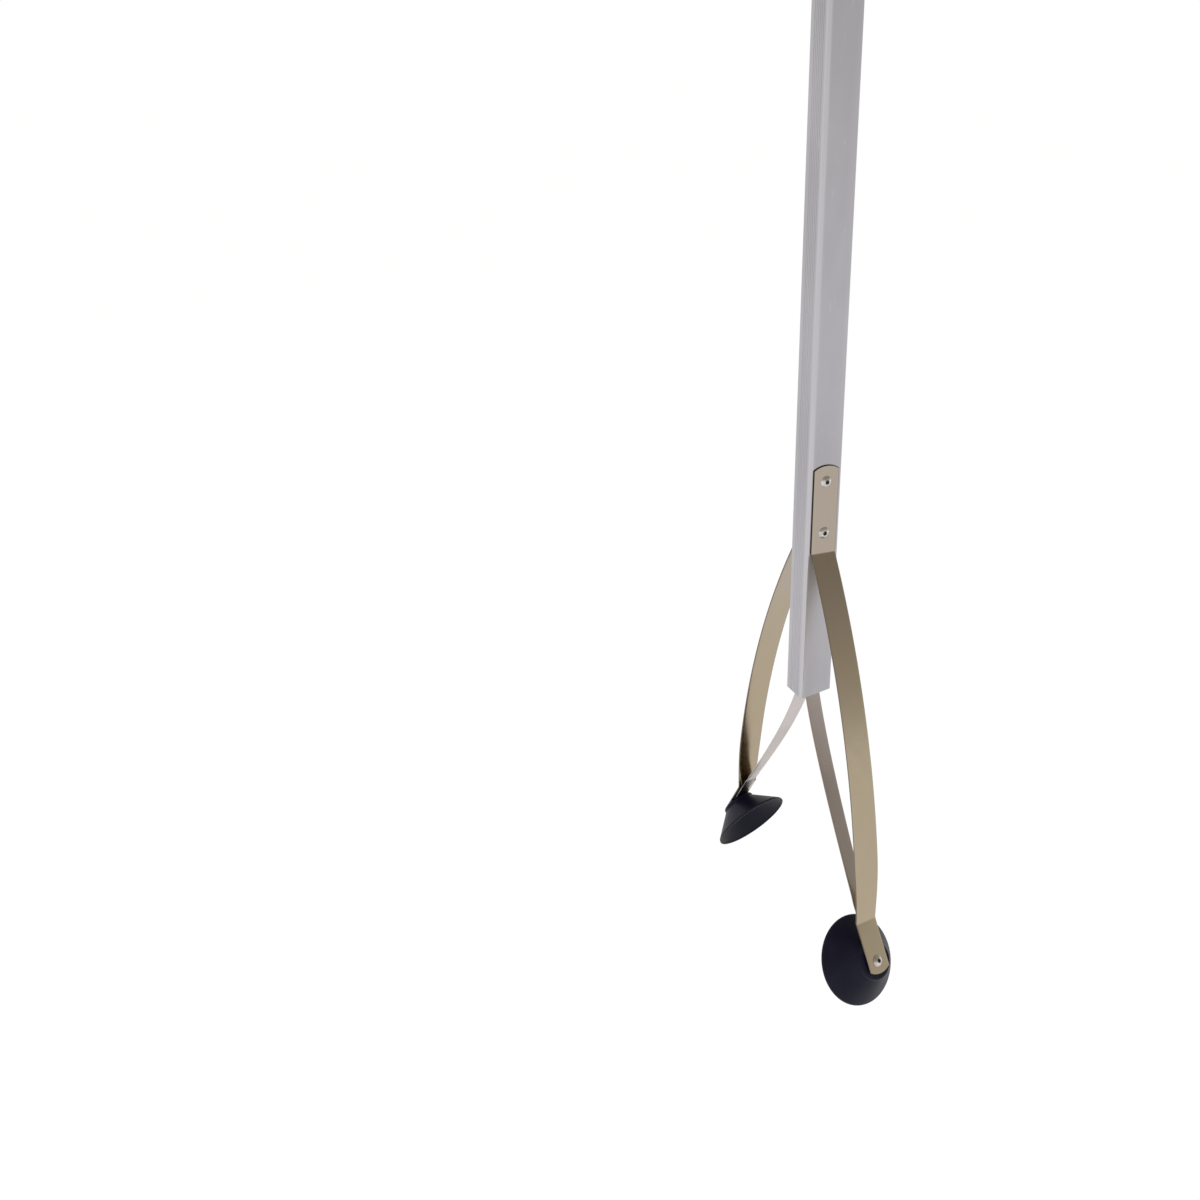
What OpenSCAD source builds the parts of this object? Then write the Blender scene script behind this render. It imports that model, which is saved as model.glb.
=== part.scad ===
// Squeeze-grip reacher with two suction cups on spring-steel arms, for picking up a ball.
// The tool hangs with its jaws down: +Z runs up the channel, the jaws open along X.
// Heights are measured from the channel's mouth and moved so that the hang hole is the origin.

/* [Channel] */
// Width of the channel's front and back faces
channel_w = 15.8; // [12:0.1:20]
// Depth of the channel's side faces, which carry the arms
channel_d = 16.4; // [15:0.1:24]
// Wall of the channel
channel_wall = 1.1; // [0.8:0.1:1.6]
// Outside corner radius of the channel
channel_corner = 1; // [0.3:0.1:2]
// Length of the channel
channel_len = 572; // [350:1:900]
// Rise of the slanted mouth from front to back
mouth_rise = 2.9; // [0:0.1:5]
// Grooves along each of the front and back faces
groove_count = 6; // [1:1:7]
// Spacing of the grooves
groove_pitch = 1.5; // [1:0.1:1.7]
// Width of a groove
groove_w = 0.6; // [0.2:0.1:0.9]
// Depth of a groove
groove_depth = 0.25; // [0.1:0.05:0.4]

/* [Spring arms] */
// Width of an arm strip
arm_w = 12.7; // [10:0.1:14]
// Thickness of an arm strip
arm_t = 0.8; // [0.5:0.1:1.2]
// Height of the upper kink above the mouth
arm_kink_z = 77.7; // [70:0.1:100]
// Length of the plate above the upper kink
plate_len = 43.4; // [40:0.1:60]
// Radius of the shallow arc that ends a plate
plate_end_r = 11; // [8:0.5:30]
// Angle at which an arm leaves the channel
arm_start_angle = 33.2; // [28:0.1:38]
// Radius of an arm's bow
arm_bow_r = 372; // [320:1:600]
// Length of an arm from kink to kink
arm_len = 184; // [170:1:200]
// Angle of the end plate from the vertical
end_plate_angle = 31; // [26:0.1:38]
// Twist of the open jaw about its arm's lower bend
jaw_twist = 15; // [0:0.5:18]
// Length of the end plate below the lower kink
end_plate_len = 26.4; // [25:0.1:34]
// Height of the lower arm rivet above the upper kink
rivet_rise = 10.3; // [8:0.1:14]
// Distance between an arm's two rivets
rivet_pitch = 25.4; // [20:0.1:28]

/* [Rivets] */
// Shank radius of a blind rivet
rivet_r = 2; // [1.5:0.1:2.4]
// Head radius of a blind rivet
rivet_head_r = 2.9; // [2.6:0.1:3.6]
// Head height of a blind rivet
rivet_head_h = 1.3; // [0.8:0.1:1.8]
// Radius of the mandrel hole in the head
mandrel_r = 1; // [0.6:0.1:1.2]
// Height of the upset tail
rivet_tail_h = 1.2; // [0.8:0.1:1.6]
// Radius of the upset tail
rivet_tail_r = 2.6; // [2.5:0.1:3]

/* [Suction cups] */
// Radius of a cup's rim
cup_r = 22.2; // [18:0.1:24]
// Height of a cup from its back to its rim
cup_h = 14.8; // [11:0.1:18]
// Radius of the boss at a cup's back
boss_r = 9.6; // [8:0.1:12]
// Height of the boss
boss_h = 2.8; // [2:0.1:5]
// Chamfer of the boss
boss_chamfer = 0.7; // [0.4:0.1:1.2]
// Height of the band behind the rim
rim_band = 1.3; // [1:0.1:4]
// Step from the cone out to the rim
band_step = 0.5; // [0.3:0.1:1.5]
// Draft of the band
band_draft = 0.2; // [0.1:0.05:0.5]
// Height over which the step rounds into the band
band_round = 0.4; // [0.3:0.1:0.8]
// Height of the hollow's corner above the band's foot
hollow_rise = 0.6; // [0.5:0.1:1.2]
// Rubber left between boss and hollow
cup_floor = 3.4; // [2.5:0.1:4]
// Rubber at the rim
rim_t = 0.9; // [0.6:0.1:1.5]
// Radius of the flat floor inside a cup
floor_r = 6; // [5.6:0.1:7.5]
// Distance of the cup's rivet below the lower kink
cup_drop = 20.2; // [19:0.1:24]
// Radius of the washer inside a cup
washer_r = 5; // [4:0.1:5.4]
// Thickness of the washer inside a cup
washer_t = 0.8; // [0.5:0.1:1.2]

/* [Pull strips] */
// Width of a pull strip
strip_w = 8; // [5:0.1:8.5]
// Thickness of a pull strip
strip_t = 0.5; // [0.3:0.05:0.7]
// Length of the tab above the lower kink
tab_rise = 6; // [4:0.1:10]
// Length of the tab past the cup's rivet
tab_past = 4; // [3:0.1:5]
// Width of the tongue on which a free strip turns
tongue_w = 2; // [1:0.1:2.4]
// Height of a free strip's upper end inside the mouth
strip_top_z = 2.2; // [1.8:0.1:2.6]
// Distance of a strip's leg from the channel's axis
leg_x = 3.4; // [3:0.1:3.8]
// Gap between a leg and the free strip below it
leg_gap = 1.1; // [0.9:0.1:1.6]
// Height of the clamp block's underside above the mouth
clamp_z = 38; // [30:0.5:42]
// Height of the clamp block
clamp_h = 24; // [20:0.5:26]
// Depth of the clamp block
clamp_d = 9; // [8:0.1:10]
// Radius of the clamp's cross rivet
clamp_rivet_r = 1.5; // [1:0.1:2]

/* [Pull rod] */
// Radius of the pull rod
rod_r = 2; // [1.5:0.1:2.2]
// Depth of the rod in the clamp block
rod_seat = 12; // [8:0.5:13]
// Travel of the rod from open to closed jaws
rod_travel = 16.7; // [12:0.1:18]
// Length of the guide plug inside the channel
guide_len = 18; // [10:0.5:30]
// Thickness of the guide plug's flange
guide_flange = 2.5; // [1.5:0.1:3]

/* [Clevis and link pin] */
// Width of the clevis along X
clevis_w = 9; // [8:0.5:12]
// Thickness of each clevis cheek
cheek_t = 2.4; // [1.8:0.1:3]
// Height of the clevis base
clevis_base = 6.5; // [5:0.1:7]
// Height of the cheeks above the link pin
cheek_past = 5; // [4:0.1:6]
// Radius of the link pin
link_pin_r = 2; // [1.5:0.1:2.2]
// Thickness of the link pin's heads
link_head_t = 1; // [0.6:0.1:1.4]

/* [Trigger] */
// Distance of the trigger's pivot from the rod
trigger_arm = 30; // [28:0.5:34]
// Thickness of the trigger's web
web_t = 6; // [5:0.1:6]
// Half height of the trigger's web
web_half = 6; // [5:0.1:6.2]
// Radius of the trigger's hub
hub_r = 8; // [7:0.1:9]
// Width of the trigger's hub
hub_w = 12; // [10:0.1:13]
// Radius of the trigger's pivot pin
pivot_pin_r = 2.5; // [2:0.1:3]
// Distance of the finger bar's root from the pivot
bar_root = 60; // [58:0.5:64]
// Distance of the finger bar's tip from the pivot
bar_tip = 130; // [110:1:138]
// Width of the finger bar
bar_w = 15; // [12:0.5:20]
// Radius of the curve that the fingers pull on
finger_curve_r = 62; // [50:1:90]
// Depth of that curve's crown below the lever's line
finger_dip = 9; // [8:0.1:10]
// Shift of that curve towards the tip
finger_shift = 2; // [0:0.1:4]
// Radius of the finger bar's root
bar_root_r = 7; // [6.4:0.1:8]
// Radius of the finger bar's tip
bar_tip_r = 5.5; // [4:0.1:6.5]
// Drop of the finger bar's tip below the lever's line
bar_tip_drop = 7; // [5:0.1:8]

/* [Handle] */
// Thickness of the handle
handle_w = 26; // [25:0.5:32]
// Wall of the handle's shells
handle_wall = 2.6; // [2:0.1:3.2]
// Length of the barrel below the channel's end
barrel_len = 46; // [36:0.5:60]
// Half width of the barrel
barrel_half = 15.5; // [14.5:0.1:16.5]
// Reach of the grip from the rod
grip_reach = 112; // [105:1:125]
// Radius of the grip's end
grip_end_r = 13; // [11:0.5:15]
// Height of the hang hole above the channel's end
hang_rise = 64; // [62:0.5:65]
// Radius of the hang hole
hang_r = 4; // [3:0.1:5]
// Rise of the finger gap's root above the lever's line
crotch_rise = 9; // [8:0.1:12]
// Rise of the grip's end above the finger gap's root
grip_rise = 43; // [36:0.5:46]
// Distance from the pivot's line to the handle's upper back corner
back_set = 6; // [4:0.1:8]
// Drop of that corner below the hang hole
back_drop = 3; // [1:0.1:4]
// Rise of the heel above the channel's end
heel_rise = 1; // [0:0.1:2]
// Distance from the pivot's line to the back screw
back_screw_set = 8; // [6:0.1:9]
// Drop of the back screw below the hang hole
back_screw_drop = 4; // [2:0.1:6]
// Distance of the middle screw from the rod
grip_screw_x = 44; // [36:0.5:52]
// Distance of the end screw from the grip's end
end_screw_set = 3; // [1:0.1:4]
// Drop of the end screw below the grip's middle
end_screw_drop = 1; // [0:0.1:2]
// Radius of the handle screws
screw_r = 1.5; // [1.2:0.1:1.8]
// Radius of the handle screws' heads
screw_head_r = 2.8; // [2.6:0.1:3.4]
// Height of the handle screws' heads
screw_head_h = 2; // [1.5:0.1:2.4]

/* [Clearances] */
// Round a strip's end that turns in its seat
hinge_clearance = 0.08; // [0.06:0.01:0.1]
// Round a rivet, screw or rod in its hole
hole_clearance = 0.05; // [0.02:0.01:0.1]
// Round a pin that something turns on
pin_clearance = 0.05; // [0.02:0.01:0.09]
// Round the link pin, across the trigger's slot
slot_clearance = 0.2; // [0.16:0.01:0.3]
// Between the channel and what it slides into
channel_clearance = 0.1; // [0.05:0.01:0.2]
// Round a handle screw in the shell under its head
screw_play = 0.15; // [0.1:0.01:0.25]
// Between pieces that move past each other
running_gap = 0.3; // [0.2:0.05:0.5]
// Between an arm's lower bend and the end of its middle
bend_gap = 0.1; // [0.08:0.01:0.2]
// Between a free strip's tongue and its tab
tongue_gap = 0.2; // [0.16:0.01:0.25]
// Beside the trigger's web and the clevis in the handle
web_room = 1; // [0.6:0.1:1.5]
// Above and below the web's sweep in the handle's slot
slot_room = 3; // [2:0.1:3.4]

/* [Hidden] */
$fn = 64;
eps = 0.01;
// How much smaller a strip's round end is than half the strip
bend_step = 0.04;
// How much flatter a tab's end is than a half circle
tab_flat = 1;
// Step at the shoulders beside a free strip's tongue
tongue_len = 0.5;
grey = "#a9a9b0";
steel = "#b3a48f";
bright = "#c9c7c2";
rubber = "#1d1f26";
charcoal = "#2b2c30";
nylon = "#e4e1d6";

// Channel
inner_w = channel_w - 2 * channel_wall;
inner_d = channel_d - 2 * channel_wall;
rivet_zs = [arm_kink_z + rivet_rise, arm_kink_z + rivet_rise + rivet_pitch];

// Arm: an arc through the upper kink, cut at the quarters of its length where it bends
arm_x = channel_w / 2 + arm_t / 2;
bend_r = arm_t / 2 - bend_step;
arm_centre = [arm_x - arm_bow_r * cos(arm_start_angle), arm_kink_z - arm_bow_r * sin(arm_start_angle)];
upper_bend = arm_len / 4;
lower_bend = 3 * arm_len / 4;
function arm_angle(s) = arm_start_angle - s / arm_bow_r * 180 / PI;
function arm_point(s) = arm_centre + arm_bow_r * [cos(arm_angle(s)), sin(arm_angle(s))];
lower_kink = arm_point(arm_len);
plate_dir = [sin(end_plate_angle), -cos(end_plate_angle)];
plate_in = [-cos(end_plate_angle), -sin(end_plate_angle)];

// Jaw: turned by its twist about the arm's own line through the lower bend
bend_point = [arm_point(lower_bend)[0], 0, arm_point(lower_bend)[1]];
bend_axis = [-sin(arm_angle(lower_bend)), 0, cos(arm_angle(lower_bend))];
function turned(v, a) = v * cos(a) + cross(bend_axis, v) * sin(a) + bend_axis * (bend_axis * v) * (1 - cos(a));

// Pull strip: from its tab's end up to the mouth, rolled by half of the jaw's twist
strip_bend_r = strip_t / 2 - bend_step;
tab_mid = arm_t / 2 + strip_t / 2;
tab_end_r = strip_w / 2 + tab_flat;
tab_gap = strip_bend_r + tongue_gap;
tab_top = lower_kink - tab_rise * plate_dir + tab_mid * plate_in;
strip_foot = bend_point + turned([tab_top[0], 0, tab_top[1]] - bend_point, jaw_twist);
strip_len = norm([leg_x, 0, strip_top_z] - strip_foot);
strip_up = ([leg_x, 0, strip_top_z] - strip_foot) / strip_len;
strip_roll = turned([0, 1, 0], jaw_twist / 2);
strip_side = (strip_roll - strip_up * (strip_up * strip_roll)) / norm(cross(strip_up, strip_roll));
strip_face = cross(strip_side, strip_up);
leg_z = strip_top_z + leg_gap;
clamp_half = leg_x - strip_t / 2;
clamp_top = clamp_z + clamp_h;
clamp_rivet_z = clamp_z + (clamp_h - rod_seat) / 2;

// Rod, clevis and link pin, from the channel's end upwards
trigger_rest = atan2(rod_travel / 2, trigger_arm);
clevis_z = channel_len + guide_flange + 2 * running_gap;
link_z = clevis_z + clevis_base + web_half / cos(trigger_rest) + clevis_w / 2 * tan(trigger_rest) + web_room;
pivot_z = link_z + rod_travel / 2;
fork_half = web_t / 2 + running_gap / 2;
cheek_half = fork_half + cheek_t;
clevis_top = link_z + cheek_past;

// Handle outline as circles [x, z, radius] in counter-clockwise order, with a negative radius in a hollow
pivot_boss_r = 13;
back_r = 14;
barrel_corner = 4;
neck_r = 12;
crotch_r = 8;
heel_r = 5;
body_front = 17;
crotch_z = pivot_z + trigger_arm * tan(trigger_rest) + crotch_rise;
grip_z = crotch_z + grip_rise;
barrel_low = channel_len - barrel_len + barrel_corner;
handle_circles = [
    [barrel_half - barrel_corner, barrel_low, barrel_corner],
    [barrel_half + neck_r, channel_len - barrel_len / 3, -neck_r],
    [trigger_arm, pivot_z, pivot_boss_r],
    [trigger_arm - back_set, channel_len + hang_rise - back_drop, back_r],
    [-grip_reach, grip_z, grip_end_r],
    [-body_front - crotch_r, crotch_z, -crotch_r],
    [heel_r - body_front, channel_len + heel_rise, heel_r],
    [barrel_corner - barrel_half, barrel_low, barrel_corner]
];
finger_circles = [
    [-bar_root, 0, bar_root_r],
    [-bar_tip, -bar_tip_drop, bar_tip_r],
    [-(bar_root + bar_tip) / 2 - finger_shift, -finger_dip - finger_curve_r, -finger_curve_r]
];
cavity_half = handle_w / 2 - handle_wall;
lip_top = channel_len + guide_flange + slot_room;
clevis_way = clevis_w + 2 * web_room;
slot_half = web_t / 2 + web_room;
slot_reach = (trigger_arm + body_front) * tan(trigger_rest) + web_half + slot_room;
slot_low = pivot_z - slot_reach;
slot_high = pivot_z + slot_reach;
peg_r = 2.4;
peg_reach = 0.8;
peg_z = channel_len - barrel_len / 2;
screw_boss_r = 4;
screw_tip = cavity_half - slot_room;
head_recess = 0.5;
hang_boss_wall = 3;
hang_boss_r = hang_r + hang_boss_wall;
barrel_screw_x = (barrel_half + channel_w / 2 + channel_clearance) / 2;
barrel_screw_z = channel_len - barrel_len * 0.7;
screw_places = [
    [barrel_screw_x, barrel_screw_z],
    [-barrel_screw_x, barrel_screw_z],
    [trigger_arm - back_screw_set, channel_len + hang_rise - back_screw_drop],
    [-grip_screw_x, (grip_z + channel_len + hang_rise) / 2],
    [end_screw_set - grip_reach, grip_z - end_screw_drop]
];

// Angle of the outward normal on the line that leaves circle a and meets circle b
function normal_angle(a, b) =
    let (d = [b[0] - a[0], b[1] - a[1]])
    atan2(d[1], d[0]) - acos((a[2] - b[2]) / norm(d));
// Points where the common tangents of neighbouring circles touch them
function tangent_points(c) =
    let (n = len(c))
    [for (i = [0 : n - 1])
        for (a = [normal_angle(c[(i + n - 1) % n], c[i]), normal_angle(c[i], c[(i + 1) % n])])
            [c[i][0], c[i][1]] + c[i][2] * [cos(a), sin(a)]];

// Moves the tool so that the hang hole is the origin
module from_hang_hole() {
    translate([0, 0, -(channel_len + hang_rise)])
        children();
}

// The left half of the jaws is the right half turned about the channel's axis
module left() {
    rotate([0, 0, 180])
        children();
}

// Turns what is modelled in line with the arm to the open jaw's twist
module twist() {
    translate(bend_point)
        rotate(a = jaw_twist, v = bend_axis)
            translate(-bend_point)
                children();
}

// Closed shape that runs round the circles on their common tangents, shrunk by inset.
// The straight edges lie a hair inside the circles, so that each arc crosses them.
module tangent_shape(circles, inset = 0) {
    c = [for (k = circles) [k[0], k[1], k[2] - inset]];
    difference() {
        union() {
            polygon(tangent_points([for (k = c) [k[0], k[1], k[2] - eps]]));
            for (k = c)
                if (k[2] > 0)
                    translate([k[0], k[1]])
                        circle(k[2]);
        }
        for (k = c)
            if (k[2] < 0)
                translate([k[0], k[1]])
                    circle(2 * eps - k[2]);
    }
}

// An outline in X and Z, given thickness along Y between two planes
module slab(y_low, y_high) {
    translate([0, y_high, 0])
        rotate([90, 0, 0])
            linear_extrude(y_high - y_low)
                children();
}

// A cylinder along Y through a point in X and Z
module cross_pin(p, r, w) {
    translate([p[0], 0, p[1]])
        rotate([90, 0, 0])
            cylinder(r = r, h = w, center = true);
}

// What is cut off a strip that stands on Z, to leave it with a shallow round end
module round_end(w, length, r) {
    difference() {
        translate([-r, -w, length - r])
            cube([2 * r, 2 * w, 2 * r]);
        translate([0, 0, length - r])
            rotate([0, 90, 0])
                cylinder(r = r, h = 4 * r, center = true);
    }
}

// A blind rivet along Z: head above Z 0, tail below the grip
module blind_rivet(grip, r, head_r, head_h, tail_r, tail_h, hole_r) {
    cap_r = (head_r * head_r + head_h * head_h) / (2 * head_h);
    difference() {
        union() {
            intersection() {
                translate([0, 0, head_h - cap_r])
                    sphere(cap_r);
                cylinder(r = head_r + 1, h = head_h + 1);
            }
            translate([0, 0, -grip - eps])
                cylinder(r = r, h = grip + 2 * eps);
            translate([0, 0, -grip - tail_h])
                cylinder(r = tail_r, h = tail_h);
        }
        translate([0, 0, head_h / 3])
            cylinder(r = hole_r, h = head_h);
    }
}

// The standard rivet with the grip that a joint needs
module standard_rivet(grip) {
    blind_rivet(grip, rivet_r, rivet_head_r, rivet_head_h, rivet_tail_r, rivet_tail_h, mandrel_r);
}

module channel_section(w, d, r) {
    union() {
        square([w - 2 * r, d], center = true);
        square([w, d - 2 * r], center = true);
        for (x = [-1, 1], y = [-1, 1])
            translate([x * (w / 2 - r), y * (d / 2 - r)])
                circle(r);
    }
}

module channel() {
    color(grey)
        difference() {
            linear_extrude(channel_len)
                channel_section(channel_w, channel_d, channel_corner);
            translate([-inner_w / 2, -inner_d / 2, -1])
                cube([inner_w, inner_d, channel_len + 2]);
            for (i = [0 : groove_count - 1], y = [-1, 1])
                translate([(i - (groove_count - 1) / 2) * groove_pitch - groove_w / 2, y * channel_d / 2, -1])
                    translate([0, y > 0 ? -groove_depth : -1, 0])
                        cube([groove_w, groove_depth + 1, channel_len + 2]);
            translate([-channel_w, -channel_d / 2, 0])
                rotate([atan2(mouth_rise, channel_d), 0, 0])
                    translate([0, -channel_d, -2 * channel_d])
                        cube([2 * channel_w, 3 * channel_d, 2 * channel_d]);
            for (z = rivet_zs)
                translate([0, 0, z])
                    rotate([0, 90, 0])
                        cylinder(r = rivet_r + hole_clearance, h = 2 * channel_w, center = true);
            cross_pin([0, peg_z], peg_r + hole_clearance, 2 * channel_d);
        }
}

// A stretch of the bowed arm between two lengths along it, in X and Z
module arm_stretch(from, to) {
    far = 2 * arm_bow_r;
    translate(arm_centre)
        intersection() {
            difference() {
                circle(arm_bow_r + arm_t / 2, $fn = 720);
                circle(arm_bow_r - arm_t / 2, $fn = 720);
            }
            polygon([
                [0, 0],
                far * [cos(arm_angle(to)), sin(arm_angle(to))],
                far * [cos(arm_angle(from)), sin(arm_angle(from))]
            ]);
        }
}

// The round end or the kink of an arm strip, in X and Z
module arm_bend(p) {
    translate(p)
        circle(bend_r);
}

// The plate on the channel's side and the arm's first quarter
module arm_root() {
    color(steel)
        difference() {
            slab(-arm_w / 2, arm_w / 2)
                union() {
                    translate([arm_x - arm_t / 2, arm_kink_z])
                        square([arm_t, plate_len]);
                    arm_bend([arm_x, arm_kink_z]);
                    arm_stretch(0, upper_bend);
                }
            translate([arm_x, 0, arm_kink_z])
                round_end(arm_w, plate_len, plate_end_r);
            cross_pin(arm_point(upper_bend), bend_r + hinge_clearance, 2 * arm_w);
            for (z = rivet_zs)
                translate([0, 0, z])
                    rotate([0, 90, 0])
                        cylinder(r = rivet_r + hole_clearance, h = 2 * channel_w);
        }
}

// The arm's middle half, which turns in the root's seat and ends just above the lower bend
module arm_mid() {
    color(steel)
        slab(-arm_w / 2, arm_w / 2)
            union() {
                arm_bend(arm_point(upper_bend));
                arm_stretch(upper_bend, lower_bend - bend_r - bend_gap);
            }
}

// Moves what hangs from the lower kink, with the cup's side along -X, onto the tilted end plate
module on_end_plate() {
    twist()
        translate([lower_kink[0], 0, lower_kink[1]])
            rotate([0, -end_plate_angle, 0])
                children();
}

// Turns a piece that stands on Z so that it points from the end plate into the jaw
module into_jaw(x) {
    on_end_plate()
        translate([x, 0, -cup_drop])
            rotate([0, -90, 0])
                children();
}

// The arm's last quarter and the end plate
module arm_tip() {
    color(steel)
        difference() {
            twist()
                slab(-arm_w / 2, arm_w / 2)
                    union() {
                        arm_bend(arm_point(lower_bend));
                        arm_stretch(lower_bend, arm_len);
                        arm_bend(lower_kink);
                        translate(lower_kink)
                            rotate(end_plate_angle)
                                translate([-arm_t / 2, -end_plate_len])
                                    square([arm_t, end_plate_len]);
                    }
            on_end_plate()
                rotate([180, 0, 0])
                    round_end(arm_w, end_plate_len, plate_end_r);
            into_jaw(arm_t)
                cylinder(r = rivet_r + hole_clearance, h = 2 * arm_t);
        }
}

module arm_rivets() {
    color(bright)
        for (z = rivet_zs)
            translate([channel_w / 2 + arm_t, 0, z])
                rotate([0, 90, 0])
                    standard_rivet(arm_t + channel_wall);
}

// The end of the pull strip that lies between end plate and cup
module strip_tab() {
    tab_len = tab_rise - tab_gap + cup_drop + tab_past;
    color(bright)
        difference() {
            on_end_plate()
                translate([-tab_mid, 0, tab_rise - tab_gap])
                    rotate([180, 0, 0])
                        difference() {
                            translate([-strip_t / 2, -strip_w / 2, 0])
                                cube([strip_t, strip_w, tab_len]);
                            round_end(strip_w, tab_len, tab_end_r);
                        }
            into_jaw(arm_t)
                cylinder(r = rivet_r + hole_clearance, h = 3 * arm_t);
        }
}

// The free stretch of the pull strip, from its tongue beside the tab up into the mouth
module pull_strip() {
    color(bright)
        multmatrix([
            [strip_face[0], strip_side[0], strip_up[0], strip_foot[0]],
            [strip_face[1], strip_side[1], strip_up[1], strip_foot[1]],
            [strip_face[2], strip_side[2], strip_up[2], strip_foot[2]]
        ])
            difference() {
                union() {
                    cross_pin([0, 0], strip_bend_r, strip_w);
                    translate([-strip_t / 2, -strip_w / 2, 0])
                        cube([strip_t, strip_w, strip_len]);
                }
                for (side = [-1, 1])
                    translate([-strip_w / 2, side * (tongue_w + strip_w) / 2 - strip_w / 2, -strip_w])
                        cube([strip_w, strip_w, strip_w + tongue_len]);
            }
}

module cup() {
    band_z = cup_h - rim_band;
    hollow_r = cup_r - rim_t - band_step;
    color(rubber)
        into_jaw(-arm_t / 2 - strip_t)
            difference() {
                rotate_extrude()
                    polygon([
                        [0, 0],
                        [boss_r - boss_chamfer, 0],
                        [boss_r, boss_chamfer],
                        [boss_r, boss_h - boss_chamfer],
                        [boss_r + boss_chamfer, boss_h],
                        [cup_r - band_step, band_z],
                        [cup_r - band_draft, band_z + band_round],
                        [cup_r, cup_h],
                        [cup_r - rim_t, cup_h],
                        [hollow_r, band_z + hollow_rise],
                        [floor_r, cup_floor],
                        [0, cup_floor]
                    ]);
                translate([0, 0, -1])
                    cylinder(r = rivet_r + hole_clearance, h = cup_h);
            }
}

module cup_washer() {
    color(bright)
        into_jaw(-arm_t / 2 - strip_t - cup_floor)
            difference() {
                cylinder(r = washer_r, h = washer_t);
                translate([0, 0, -1])
                    cylinder(r = rivet_r + hole_clearance, h = washer_t + 2);
            }
}

module cup_rivet() {
    color(bright)
        into_jaw(arm_t / 2)
            mirror([0, 0, 1])
                standard_rivet(arm_t + strip_t + cup_floor + washer_t);
}

// The upper end of a pull strip, on the clamp block's side
module strip_leg() {
    color(bright)
        difference() {
            translate([leg_x - strip_t / 2, -strip_w / 2, leg_z])
                cube([strip_t, strip_w, clamp_top - leg_z]);
            translate([0, 0, clamp_rivet_z])
                rotate([0, 90, 0])
                    cylinder(r = clamp_rivet_r + hole_clearance, h = channel_w);
        }
}

module strip_clamp() {
    color(nylon)
        difference() {
            translate([-clamp_half, -clamp_d / 2, clamp_z])
                cube([2 * clamp_half, clamp_d, clamp_h]);
            translate([0, 0, clamp_top - rod_seat])
                cylinder(r = rod_r + hole_clearance, h = clamp_h);
            translate([0, 0, clamp_rivet_z])
                rotate([0, 90, 0])
                    cylinder(r = clamp_rivet_r + hole_clearance, h = channel_w, center = true);
        }
}

// A solid rivet through both legs and the clamp block
module clamp_rivet() {
    head_t = 0.8;
    head_x = leg_x + strip_t / 2;
    color(bright)
        translate([0, 0, clamp_rivet_z])
            rotate([0, 90, 0])
                union() {
                    cylinder(r = clamp_rivet_r, h = 2 * head_x, center = true);
                    for (side = [-1, 1])
                        translate([0, 0, side * (head_x + head_t / 2)])
                            cylinder(r = clamp_rivet_r + 1, h = head_t, center = true);
                }
}

module pull_rod() {
    rod_low = clamp_top - rod_seat;
    rod_high = clevis_z + clevis_base - 1;
    color(bright)
        translate([0, 0, rod_low])
            cylinder(r = rod_r, h = rod_high - rod_low);
}

module rod_guide() {
    plug_w = inner_w - 2 * channel_clearance;
    plug_d = inner_d - 2 * channel_clearance;
    color(nylon)
        difference() {
            union() {
                translate([-plug_w / 2, -plug_d / 2, channel_len - guide_len])
                    cube([plug_w, plug_d, guide_len + eps]);
                translate([-channel_w / 2, -channel_d / 2, channel_len])
                    cube([channel_w, channel_d, guide_flange]);
            }
            translate([0, 0, channel_len - guide_len - 1])
                cylinder(r = rod_r + pin_clearance, h = guide_len + guide_flange + 2);
        }
}

module rod_clevis() {
    color(bright)
        difference() {
            translate([-clevis_w / 2, -cheek_half, clevis_z])
                cube([clevis_w, 2 * cheek_half, clevis_top - clevis_z]);
            translate([-clevis_w, -fork_half, clevis_z + clevis_base])
                cube([2 * clevis_w, 2 * fork_half, clevis_top]);
            translate([0, 0, clevis_z - 1])
                cylinder(r = rod_r + hole_clearance, h = clevis_base);
            cross_pin([0, link_z], link_pin_r + hole_clearance, 4 * cheek_half);
        }
}

module link_pin() {
    color(bright)
        union() {
            cross_pin([0, link_z], link_pin_r, 2 * cheek_half + link_head_t);
            for (side = [-1, 1])
                translate([0, side * (cheek_half + link_head_t / 2), 0])
                    cross_pin([0, link_z], link_pin_r + 1, link_head_t);
        }
}

module trigger_pin() {
    color(bright)
        cross_pin([trigger_arm, pivot_z], pivot_pin_r, 2 * cavity_half);
}

// The trigger, modelled with its lever along -X and turned down to its rest
module trigger() {
    slot_near = trigger_arm - link_pin_r / 4;
    slot_far = trigger_arm / cos(trigger_rest) + link_pin_r / 4;
    slot_half_h = link_pin_r + slot_clearance;
    slot_r = slot_half_h + bend_step;
    color(charcoal)
        translate([trigger_arm, 0, pivot_z])
            rotate([0, -trigger_rest, 0])
                difference() {
                    union() {
                        slab(-bar_w / 2, bar_w / 2)
                            tangent_shape(finger_circles);
                        translate([-bar_root, -web_t / 2, -web_half])
                            cube([bar_root, web_t, 2 * web_half]);
                        cross_pin([0, 0], hub_r, hub_w);
                    }
                    cross_pin([0, 0], pivot_pin_r + pin_clearance, 2 * hub_w);
                    cross_pin([-slot_near, 0], slot_r, 2 * web_t);
                    cross_pin([-slot_far, 0], slot_r, 2 * web_t);
                    translate([-slot_far, -web_t, -slot_half_h])
                        cube([slot_far - slot_near, 2 * web_t, 2 * slot_half_h]);
                }
}

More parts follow.
